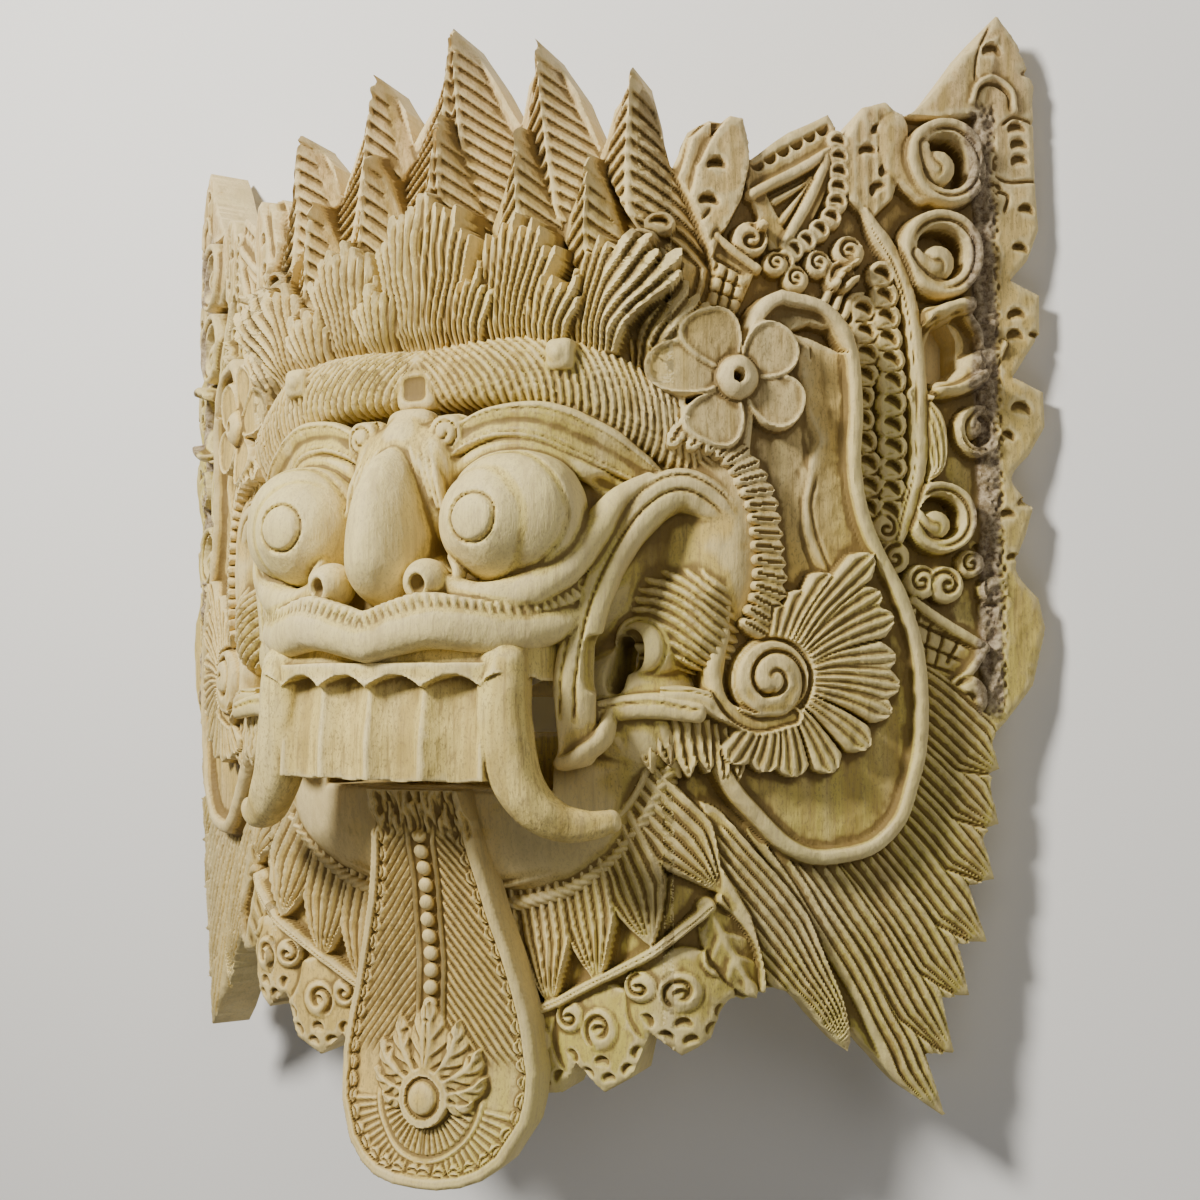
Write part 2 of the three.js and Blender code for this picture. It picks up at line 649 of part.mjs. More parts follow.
function tongue() {
  const left = TONGUE_EDGE.slice(0, -1).reverse().map(([x, y]) => [-x, y]);
  const rim = () => 3;
  const floor = () => 0;
  const slab = dish([...TONGUE_EDGE, ...left].reverse(), 4, -TONGUE_THICKNESS, rim, floor, onTongue);
  const column = furrowed(comb(4, (k, isRidge) => {
    const y = -106 - 15 * k;
    return [[-3.5, y, isRidge ? 4 : 1], [3.5, y, isRidge ? 4 : 1]];
  }), 2, onTongue);
  const flames = furrowed(comb(5, (k, isRidge) => {
    const angle = THREE.MathUtils.degToRad(175 - (170 * k) / 5);
    const reach = 39 - 5 * Math.abs(k - 2.5) - (isRidge ? 0 : 8);
    const at = (r, h) => [r * Math.cos(angle), -206 + r * Math.sin(angle), h];
    return [at(8, isRidge ? 5 : 2), at(reach, isRidge ? 3 : 0.5)];
  }), 2, onTongue);
  const herringbone = bothSides([furrowed(comb(4, (k, isRidge) => {
    const y = -112 - 16 * k;
    return [[8, y, isRidge ? 3 : 0.5], [24 + k, y - 12, isRidge ? 3 : 0.5]];
  }), 2, onTongue)]);
  return [slab, column, flames, ...herringbone, boss([0, -206], 10, 5, 8, onTongue)];
}

const boxAt = ([x0, y0, z0], [x1, y1, z1]) => {
  const outline = [[x0, y0], [x1, y0], [x1, y1], [x0, y1]];
  return terrace(outline, z0, z1, inSpace);
};

// What is cut away: the hollow behind the face, the mouth, its side gaps and the pierced wing
function hollows() {
  const eyelet = [[207, 84], [213, 84], [220, 91], [220, 104], [216, 111], [209, 109], [205, 98]];
  const bend = FLAT_HALF + BEND_RADIUS * BEND_ANGLE;
  const half = [0, FLAT_HALF, bend, 252].map((u) => onPlate(u, 0, -WALL)).map(({ x, z }) => [x, z]);
  const [flat, turn, edge] = half.slice(1);
  const share = (turn[1] - BACK_LEVEL) / (turn[1] - edge[1]);
  const foot = [turn[0] + share * (edge[0] - turn[0]), BACK_LEVEL];
  const right = [flat, turn, foot, [400, BACK_LEVEL], [400, -200]];
  const behind = [...right, ...right.map(([x, z]) => [-x, z]).reverse()];
  return [
    terrace(behind, -400, 400, (x, z, y) => inSpace(x, y, z)),
    mound([0, 12, 80], [66, 64, 62, 42], 2.6, 12, 5),
    boxAt([-56, -84, 60], [56, -46, 146]),
    ...bothSides([
      terrace(eyelet, -ROUGH_WALL - 4, 20), boxAt([50, -70, 100], [66, -44, 150]), boxAt([76, -52, 60], [90, -34, 150]),
    ]),
  ];
}

// The triangles of the block itself, without chips that a cut leaves loose
function largestBody(index, cornerCount) {
  const owner = Array.from({ length: cornerCount }, (_, k) => k);
  const root = (k) => {
    let at = k;
    while (owner[at] !== at) {
      owner[at] = owner[owner[at]];
      at = owner[at];
    }
    return at;
  };
  for (let i = 0; i < index.length; i += 3) {
    owner[root(index[i + 1])] = root(index[i]);
    owner[root(index[i + 2])] = root(index[i]);
  }
  const sizes = new Map();
  for (let i = 0; i < index.length; i += 3) sizes.set(root(index[i]), (sizes.get(root(index[i])) ?? 0) + 1);
  const [largest] = [...sizes].sort(([, a], [, b]) => b - a)[0];
  return Uint32Array.from(index.filter((_, i) => root(index[i - (i % 3)]) === largest));
}

function mask() {
  const pieces = [
    plate(),
    ...crown(),
    ...middleFace(),
    ...teeth(),
    ...jaw(),
    ...tongue(),
    ...bothSides([
      ...wing(), ...feathers(), ...beard(), ...ear(), ...flower(), ...rosette(), ...cheek(), ...brows(), ...eye(),
      tusk(),
    ]),
  ];
  const wood = wasm.Manifold.union(pieces.map(toSolid));
  const cut = wasm.Manifold.union(hollows().map(toSolid));
  const carvedWood = wood.subtract(cut).getMesh();
  const geometry = new THREE.BufferGeometry();
  const corners = new Float32Array(carvedWood.vertProperties);
  geometry.setAttribute('position', new THREE.BufferAttribute(corners, 3));
  geometry.setIndex(new THREE.BufferAttribute(largestBody(carvedWood.triVerts, corners.length / 3), 1));
  geometry.computeBoundingBox();
  const middle = geometry.boundingBox.getCenter(new THREE.Vector3());
  geometry.translate(0, -middle.y, -geometry.boundingBox.min.z);
  geometry.computeVertexNormals();
  const wax = new THREE.MeshStandardMaterial({ color: 0xd8c68e, roughness: 0.72, metalness: 0 });
  const mesh = new THREE.Mesh(geometry, wax);
  mesh.name = 'mask';
  return mesh;
}

const rangdaMask = new THREE.Group();
rangdaMask.add(mask());
export default rangdaMask;
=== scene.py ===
# Rangda mask lying face up: one block of pale wood, carved all over with knives and gouges.
# Lengths are millimetres in the mask's own layout until they are placed, then metres.
import math
from functools import reduce

import bpy
import numpy as np
from mathutils import Matrix, Vector
from mathutils.geometry import delaunay_2d_cdt


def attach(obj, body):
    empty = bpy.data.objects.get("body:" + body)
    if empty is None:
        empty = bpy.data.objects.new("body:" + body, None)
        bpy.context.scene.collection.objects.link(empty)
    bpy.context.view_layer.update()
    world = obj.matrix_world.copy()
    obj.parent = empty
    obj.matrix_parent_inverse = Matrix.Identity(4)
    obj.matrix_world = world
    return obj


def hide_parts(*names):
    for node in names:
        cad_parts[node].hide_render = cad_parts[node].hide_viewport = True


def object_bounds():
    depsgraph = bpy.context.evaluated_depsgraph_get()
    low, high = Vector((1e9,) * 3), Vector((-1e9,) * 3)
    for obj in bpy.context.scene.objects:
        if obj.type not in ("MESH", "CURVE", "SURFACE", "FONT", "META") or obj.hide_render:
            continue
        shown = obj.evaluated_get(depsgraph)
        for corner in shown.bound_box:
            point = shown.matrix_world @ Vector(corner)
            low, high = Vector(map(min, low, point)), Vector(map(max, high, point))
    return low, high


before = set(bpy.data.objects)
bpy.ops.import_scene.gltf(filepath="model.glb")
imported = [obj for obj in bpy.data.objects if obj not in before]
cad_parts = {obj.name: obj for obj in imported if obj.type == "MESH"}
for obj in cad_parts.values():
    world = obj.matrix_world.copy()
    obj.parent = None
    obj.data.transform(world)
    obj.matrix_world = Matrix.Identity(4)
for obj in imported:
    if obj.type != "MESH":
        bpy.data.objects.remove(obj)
cad_box = [list(corner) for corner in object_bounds()]

# The plate: a flat middle, a short bend and a sloping wing on either side
WALL = 16.0
PLATE_TOP = 100.0
FLAT_HALF = 80.0
BEND_RADIUS = 40.0
BEND_ANGLE = math.radians(36.5)
BEND_END = FLAT_HALF + BEND_RADIUS * BEND_ANGLE
BACK_LEVEL = -4.0
WING_TOP = 244.5
MIDDLE_Y = WING_TOP - 1000 * cad_box[1][1]

# Grid pitches of the carved surfaces, coarser while trying things
PLATE_PITCH = 0.76
FACE_PITCH = 0.85
TONGUE_PITCH = 0.6
EDGE = 1.5

# The most triangles that a thinned piece keeps, and the angle from which its edges stay sharp
PLATE_MOST = 180000
FACE_MOST = 190000
TEETH_MOST = 60000
SHARP_ANGLE = math.radians(50)


def on_plate(u, y, h):
    """Places (distance across, along, height above the carved ground) in the mask's layout."""
    across = np.abs(u)
    turn = np.clip((across - FLAT_HALF) / BEND_RADIUS, 0, BEND_ANGLE)
    run = np.maximum(across - BEND_END, 0)
    x = np.minimum(across, FLAT_HALF) + (BEND_RADIUS + h) * np.sin(turn) + run * math.cos(BEND_ANGLE)
    z = PLATE_TOP - BEND_RADIUS * (1 - np.cos(turn)) - run * math.sin(BEND_ANGLE) + h * np.cos(turn)
    return np.stack([np.where(u < 0, -x, x), y + 0 * x, z], -1)


def back_height(u):
    """Height of the hollowed back under each u: an even wall, cut off at the flat back edges."""
    ground = on_plate(u, 0 * u, 0 * u)[..., 2]
    turn = np.clip((np.abs(u) - FLAT_HALF) / BEND_RADIUS, 0, BEND_ANGLE)
    return np.maximum(-WALL, (BACK_LEVEL - ground) / np.cos(turn))


def placed(points):
    """Layout millimetres to metres in the frame of the CAD model."""
    return (points - np.array([0, MIDDLE_Y, BACK_LEVEL])) / 1000


def smooth(x, low=0.0, high=1.0):
    t = np.clip((x - low) / (high - low), 0, 1)
    return t * t * (3 - 2 * t)


def saw(x):
    """A knife cut repeated: rises slowly from 0 to 1 and drops back at once."""
    part = x - np.floor(x)
    return np.where(part < 0.82, part / 0.82, (1 - part) / 0.18)


def dome(x):
    """Half a circle: 1 in the middle, 0 at the rim and beyond."""
    return np.sqrt(np.clip(1 - x**2, 0, 1))


def wave(x):
    """An even V furrow repeated: 0 in the furrow, 1 on the ridge."""
    return 1 - 2 * np.abs(x - np.floor(x) - 0.5)


def lattice_noise(x, y, z, seed):
    """Smooth noise from -1 to 1, the same on every run."""
    table = np.random.default_rng(seed).uniform(-1, 1, (16, 16, 16))
    cells = [np.floor(v).astype(int) for v in (x, y, z)]
    parts = [smooth(v - c) for v, c in zip((x, y, z), cells)]
    total = np.zeros(np.broadcast(x, y, z).shape)
    for corner in range(8):
        bits = [(corner >> k) & 1 for k in range(3)]
        weight = np.ones_like(total)
        for bit, part in zip(bits, parts):
            weight = weight * (part if bit else 1 - part)
        total += weight * table[tuple((c + b) % 16 for c, b in zip(cells, bits))]
    return total


def curve(points, count=48):
    """A smooth line through a few points, at even steps."""
    p = np.array(points, float)
    if len(p) == 2:
        return p[0] + np.linspace(0, 1, count)[:, None] * (p[1] - p[0])
    ends = np.vstack([2 * p[0] - p[1], p, 2 * p[-1] - p[-2]])
    out = []
    for a, b, c, d in zip(ends[:-3], ends[1:-2], ends[2:-1], ends[3:]):
        t = np.linspace(0, 1, 24, endpoint=False)[:, None]
        cubic = 3 * b - a - 3 * c + d
        out.append(0.5 * (2 * b + (c - a) * t + (2 * a - 5 * b + 4 * c - d) * t**2 + cubic * t**3))
    dense = np.vstack(out + [p[-1:]])
    walked = np.concatenate([[0], np.cumsum(np.linalg.norm(np.diff(dense, axis=0), axis=1))])
    even = np.linspace(0, walked[-1], count)
    return np.stack([np.interp(even, walked, dense[:, k]) for k in range(p.shape[1])], -1)


def along(U, Y, line):
    """For each place: distance to a line, side of it, and how far along it is, in mm."""
    best = np.full(U.shape, 1e9)
    side = np.zeros(U.shape)
    walked = np.zeros(U.shape)
    start = 0.0
    for a, b in zip(line[:-1], line[1:]):
        run = b - a
        length = math.hypot(*run)
        if length < 1e-9:
            continue
        t = np.clip(((U - a[0]) * run[0] + (Y - a[1]) * run[1]) / length**2, 0, 1)
        off_u, off_y = U - a[0] - t * run[0], Y - a[1] - t * run[1]
        away = np.hypot(off_u, off_y)
        nearer = away < best
        best = np.where(nearer, away, best)
        side = np.where(nearer, np.sign(run[0] * off_y - run[1] * off_u), side)
        walked = np.where(nearer, start + t * length, walked)
        start += length
    return best, side, walked, start


def polygon_depth(U, Y, corners):
    """How deep inside an outline each place is, negative outside."""
    best = np.full(U.shape, 1e9)
    inside = np.zeros(U.shape, bool)
    c = np.array(corners, float)
    for a, b in zip(c, np.roll(c, -1, axis=0)):
        run = b - a
        t = np.clip(((U - a[0]) * run[0] + (Y - a[1]) * run[1]) / (run @ run), 0, 1)
        best = np.minimum(best, np.hypot(U - a[0] - t * run[0], Y - a[1] - t * run[1]))
        crosses = (a[1] > Y) != (b[1] > Y)
        at = a[0] + (Y - a[1]) * run[0] / (run[1] if abs(run[1]) > 1e-9 else 1e-9)
        inside ^= crosses & (U < at)
    return np.where(inside, best, -best)


class Grid:
    """An even grid of places, flat or solid."""

    margin = 0.0

    def __init__(self, low, high, pitch):
        self.pitch = pitch
        self.low = np.array(low, float)
        self.size = tuple(int(math.ceil((b - a) / pitch)) + 1 for a, b in zip(low, high))

    def window(self, low, high):
        """The part of the grid round a form, and the places in it."""
        first = np.floor((np.array(low) - self.margin - self.low) / self.pitch).astype(int)
        last = np.ceil((np.array(high) + self.margin - self.low) / self.pitch).astype(int)
        first, last = np.clip(first, 0, self.size), np.clip(last, 0, self.size)
        axes = [at + self.pitch * np.arange(a, b) for at, a, b in zip(self.low, first, last)]
        places = np.meshgrid(*axes, indexing="ij", sparse=len(axes) == 3)
        return tuple(slice(a, b) for a, b in zip(first, last)), *places


class Relief(Grid):
    """Heights over an even grid, carved one form at a time from the lowest to the topmost."""

    margin = 3.0

    def __init__(self, low, high, pitch):
        super().__init__(low, high, pitch)
        self.h = np.zeros(self.size)

    def grid(self):
        axes = [at + self.pitch * np.arange(count) for at, count in zip(self.low, self.size)]
        return np.meshgrid(*axes, indexing="ij")

    def lay(self, cut, depth, height, edge=EDGE):
        """Covers what is below with a form, its sides cut steeply over a narrow edge."""
        cover = smooth(depth, -0.35 * edge, 0.65 * edge)
        self.h[cut] = self.h[cut] * (1 - cover) + height * cover

    def stroke(self, points, width, height, base=None, count=48, edge=EDGE):
        """A form along a line. width(t) is in mm; height(t, v, d) for t along, v across, d in mm along."""
        line = curve(points, count)
        t_line = np.linspace(0, 1, count)
        widest = max(width(t) for t in t_line) / 2
        cut, U, Y = self.window(line.min(0) - widest, line.max(0) + widest)
        away, side, walked, length = along(U, Y, line)
        t = walked / length
        half = np.interp(t, t_line, [width(x) / 2 for x in t_line])
        v = side * away / np.maximum(half, 0.3)
        low = self.h[cut] if base is None else base
        self.lay(cut, half - away, low + height(t, np.clip(v, -1, 1), walked), edge)

    def plateau(self, corners, height, edge=EDGE):
        """A form of any outline; height is a number or height(U, Y, depth)."""
        c = np.array(corners, float)
        cut, U, Y = self.window(c.min(0), c.max(0))
        depth = polygon_depth(U, Y, c)
        self.lay(cut, depth, height(U, Y, depth) if callable(height) else height, edge)

    def disc(self, centre, radius, height, edge=EDGE):
        """A round form; height is a number, or height(r) for r from its middle."""
        c = np.array(centre, float)
        cut, U, Y = self.window(c - radius, c + radius)
        r = np.hypot(U - c[0], Y - c[1])
        self.lay(cut, radius - r, height(r) if callable(height) else height, edge)

    def rib(self, points, width, high, taper=0.0, fall=1.5, base=None):
        """A rounded bar along a line, thinner by taper at its end and lower by fall at its sides."""
        self.stroke(points, lambda t: width - taper * t, lambda t, v, d: high - fall * v * v, base)

    def furrow(self, points, width, depth, count=24):
        """A V cut along a line."""
        line = curve(points, count)
        cut, U, Y = self.window(line.min(0) - width, line.max(0) + width)
        away, _, walked, length = along(U, Y, line)
        taper = np.clip(np.minimum(walked, length - walked) / (0.15 * length) + 0.25, 0, 1)
        self.h[cut] -= depth * taper * np.clip(1 - 2 * away / width, 0, 1)

    def gouge(self, centre, radius, degrees, depth):
        """A thumbnail cut: steep and deep on the side it faces, running out on the other."""
        c = np.array(centre, float)
        cut, U, Y = self.window(c - radius, c + radius)
        a = math.radians(degrees)
        toward = ((U - c[0]) * math.cos(a) + (Y - c[1]) * math.sin(a)) / radius
        inside = smooth(radius - np.hypot(U - c[0], Y - c[1]), -0.3, 0.9)
        self.h[cut] -= depth * inside * np.clip(0.25 + toward, 0, 1)


# Outline of the right half, from the middle spike round the wing to the chin
OUTLINE = [
    (0, 242), (14, 220), (27, 198), (31, 215), (40, 229), (54, 208), (65, 180), (71, 197), (82, 210),
    (90, 192), (95.5, 169), (103, 184), (112, 190), (124, 189), (128, 173), (145, 186), (162, 195),
    (168, 186), (176, 198), (186, 202), (195, 195), (206, 205), (217, 218), (227, 232), (239, 244.5),
    (248, 233), (255, 215), (255, 172), (255.5, 152), (250, 138), (242.5, 129), (256, 123), (256, 107),
    (243, 88), (257, 82), (257, 67), (249, 54), (239, 44), (251, 33), (247, 20), (240, 5), (252, -6),
    (255, -18), (249, -42), (237, -57), (230, -64), (234.6, -77), (228, -80), (233.4, -99), (224, -102),
    (231, -122), (218, -124), (227, -147), (213, -147), (219, -168), (206, -168), (212, -191),
    (199, -190), (207, -216), (193, -206), (178, -191), (168, -179), (166, -188), (154, -176),
    (143, -163), (133, -162), (124, -167), (116, -164), (109, -180), (98, -186), (87, -178), (80, -196),
    (68, -203), (56, -192), (50, -205), (39, -207), (28, -196), (18, -208), (0, -200),
]
EYELET = [(207, 84), (213, 84), (220, 91), (220, 104), (216, 111), (209, 109), (205, 98)]

# Where the sheet is parted: outer end of crown and beard, inner end of a wing above and below STEP_Y
SEAM = 96.0
WING_FROM = (84.0, 92.0)
STEP_Y = -30
CROWN_FOOT = 76
BEARD_TOP = -62


def eased(corners, most=5.0):
    """The same outline with its blunt outward corners cut round; points and notches stay sharp."""
    for _ in range(3):
        out = [corners[0]]
        for a, b, c in zip(corners[:-2], corners[1:-1], corners[2:]):
            p, q = np.subtract(a, b), np.subtract(c, b)
            size = np.hypot(*p) * np.hypot(*q)
            turn = (q[0] * -p[1] + q[1] * p[0]) / size
            if turn < -0.02 and p @ q / size < 0.15:
                out.append(tuple(b + p * min(0.25, most / np.hypot(*p))))
                out.append(tuple(b + q * min(0.25, most / np.hypot(*q))))
            else:
                out.append(b)
        corners = out + [corners[-1]]
    return corners


def spiral(centre, radius, start, sweep, inner, count=40):
    """Points of a curl that winds inward from a start angle, in degrees."""
    t = np.linspace(0, 1, count)
    a = np.radians(start + sweep * t)
    r = radius + (inner - radius) * t**0.85
    return np.stack([centre[0] + r * np.cos(a), centre[1] + r * np.sin(a)], -1)


def scroll(r, centre, radius, start, sweep, high):
    """A small carved curl: a rounded disc with a winding V cut and a deep eye."""
    r.disc(centre, radius, lambda d: high - 1.8 * (d / radius) ** 3, edge=1.2)
    line = spiral(centre, 0.80 * radius, start, sweep, 0.22 * radius, 36)
    r.furrow(line, 0.34 * radius + 0.8, 0.30 * high + 0.6, count=60)
    r.gouge((centre[0], centre[1] - 0.1 * radius), 0.36 * radius, 90, 0.35 * high)


def volute(r, centre, radius, turn, high, pit):
    """A large curl: a broad ring round a deep eye, with the rounded end of the curl lying in it."""
    def ring(d):
        q = d / radius
        return high * (0.80 + 0.20 * smooth(q, 0.55, 0.85)) - 2.4 * smooth(q, 0.88, 1.0) ** 2

    a = math.radians(turn)
    head = (centre[0] + 0.24 * radius * math.cos(a), centre[1] + 0.24 * radius * math.sin(a))
    size = 0.42 * radius
    r.disc(centre, radius, ring, edge=1.6)
    r.disc(centre, 0.60 * radius, pit, edge=1.4)
    r.disc(head, size, lambda d: high - 0.6 - 3.0 * (d / size) ** 2, edge=1.6)
    neck = spiral(centre, 0.62 * radius, turn - 62, 60, 0.36 * radius, 14)
    r.rib(neck, 0.34 * radius, high - 0.9, fall=1.4, base=0.0)
    line = spiral(centre, 0.80 * radius, turn + 20, 250, 0.72 * radius, 30)
    r.furrow(line, 2.6, 2.0, count=60)


def leaf(r, path, width, low, high, cuts=4):
    """A pointed leaf with a spine and slanting cuts to either side."""
    def face(t, v, d):
        spine = high - (high - low) * np.abs(v) ** 1.4
        veins = saw((d - 0.5 * width * np.abs(v)) / (2.2 * width / cuts))
        return spine - 1.3 * veins * smooth(np.abs(v), 0.05, 0.35) * smooth(t, 0.02, 0.2)

    def wide(t):
        return max(width * math.sin(math.pi * min(0.12 + 0.88 * t, 1.0)) ** 0.7, 0.6)

    r.stroke(path, wide, face, base=0.0)


def feather(r, path, width, high, grooves, tip, tilt):
    """A long feather: side by side grooves, one edge higher than the other."""
    def wide(t):
        return width * min(1.0, ((1 - t) / tip + 0.04) ** 0.8)

    def face(t, v, d):
        groove = 2.2 * saw(0.5 * grooves * (v + 1))
        return high + tilt * v + groove * smooth(t, 0, 0.05) * smooth(1 - t, 0, 0.2)

    r.stroke(path, wide, face, base=0.0, edge=1.0)


def spike(r, foot, tip, spread, low, high):
    """A crown spike: chevrons of knife cuts on its face, one plain bevelled side."""
    length = math.hypot(tip[0] - foot[0], tip[1] - foot[1])
    bend = ((foot[0] + tip[0]) / 2 - 1.5, (foot[1] + tip[1]) / 2)

    def face(t, v, d):
        half = spread * length * (1 - t) / 2
        ridge = -0.2
        fall = np.where(v > ridge, (v - ridge) / (1 - ridge), (ridge - v) / (1 + ridge))
        roof = high - (high - low) * fall**1.25
        plain = smooth(v, 0.5, 0.6)
        chevron = saw((d + 0.8 * half * np.abs(v - ridge)) / 6.6)
        return roof - 3.0 * chevron * (1 - plain) * smooth(np.abs(v - ridge), 0.0, 0.1) - 1.5 * plain

    r.stroke([foot, bend, tip], lambda t: spread * length * max(1 - t, 0.0) + 0.8, face, base=0.0, count=40)


def tuft(r, u, foot, top, half, low, count, lean):
    """A fan of flutes with pointed tops, longest in the middle, growing out from behind the band."""
    height = top - foot
    root = (u - 0.35 * lean, foot - 0.75 * height)
    spread = math.atan2(half * 1.15, height * 1.5)
    tilt = math.atan2(lean, height)
    cut, U, Y = r.window((u - 1.6 * half, foot), (u + 1.6 * half + lean, top + 4))
    out = np.hypot(U - root[0], Y - root[1])
    turn = np.arctan2(U - root[0], Y - root[1]) - tilt * smooth(out, 0.5 * height, 1.7 * height)
    turn = turn + 0.012 * lattice_noise(U / 9, Y / 14, 0 * U, 8)
    part = (turn / spread + 1) / 2 * count
    off = np.clip(turn / spread, -1, 1)
    flute = np.sin(math.pi * (part - np.floor(part)))
    stagger = 3.0 * np.sin(2.3 * np.floor(part) + u)
    reach = 1.70 * height - 0.28 * height * off**2 - 6.0 * (1 - flute**0.6) + stagger
    depth = np.minimum(np.minimum(reach - out, (spread - np.abs(turn)) * out), Y - foot)
    face = low + 3.0 * (1 - off**2) + 2.6 * saw(part) - 2.6 * smooth(out / height, 1.35, 1.75)
    r.lay(cut, depth, face - 5.0 * (1 - smooth(Y - foot, 0, 12)), 1.2)


def scales(r, places, radius, high, depth=4.2):
    """Small overlapping scales, each with a thumbnail cut under its rim."""
    for u, y, turn in places:
        a = math.radians(90 + turn)
        c = (math.cos(a), math.sin(a))
        r.disc((u, y), radius, lambda d: high + 1.4 * dome(d / radius), edge=1.1)
        r.gouge((u - 0.14 * radius * c[0], y - 0.14 * radius * c[1]), 0.68 * radius, 90 + turn, depth)


def crown(r):
    """Two rows of spikes, a third of tufts, and small strokes between."""
    back = [(-2, 60), (100, 60), (100, 128), (84, 146), (-2, 158)]
    r.plateau(back, lambda U, Y, d: 8 + 0.03 * (150 - Y) * 3)
    for k in range(15):
        u = 4 + 6.6 * k
        r.furrow([(u, 132), (u + 2 + 0.12 * u, 150)], 3.0, 1.6)
    spike(r, (76, 128), (82.5, 212), 0.86, 1, 12)
    spike(r, (46, 136), (40, 231), 0.82, 1, 13)
    spike(r, (3, 140), (0, 244), 0.92, 1, 14)
    front = [(-2, 60), (92, 60), (86, 118), (70, 128), (-2, 142)]
    r.plateau(front, lambda U, Y, d: 15.5 + 0.4 * wave(U / 3.7))
    spike(r, (66, 100), (68, 174), 0.8, 12, 23)
    spike(r, (38, 104), (36, 190), 0.76, 13, 25)
    spike(r, (2, 108), (0, 200), 0.78, 14, 27)
    for u, y, turn in [(90, 128, 30), (84, 122, 20), (93, 118, 40), (87, 134, 10), (92, 142, 20)]:
        scales(r, [(u, y, -turn)], 5.2, 17 if u < 90 else 12)

    def ground(U, Y, d):
        return np.maximum(28 - 0.5 * np.clip(U - 55, 0, 40) - 0.9 * np.clip(84 - Y, 0, 30), 0)

    r.plateau([(-2, 60), (98, 60), (94, 86), (86, 100), (56, 108), (-2, 112)], ground)
    for fan in [
        (91, 84, 118, 12, 15, 6, 8), (73, 88, 139, 17, 25, 9, 10), (37, 92, 149, 18, 30, 10, 5),
        (55, 89, 122, 12, 31, 6, 5), (0, 94, 163, 22, 33, 12, 0), (20, 92, 126, 11, 34, 6, 3),
    ]:
        tuft(r, *fan)


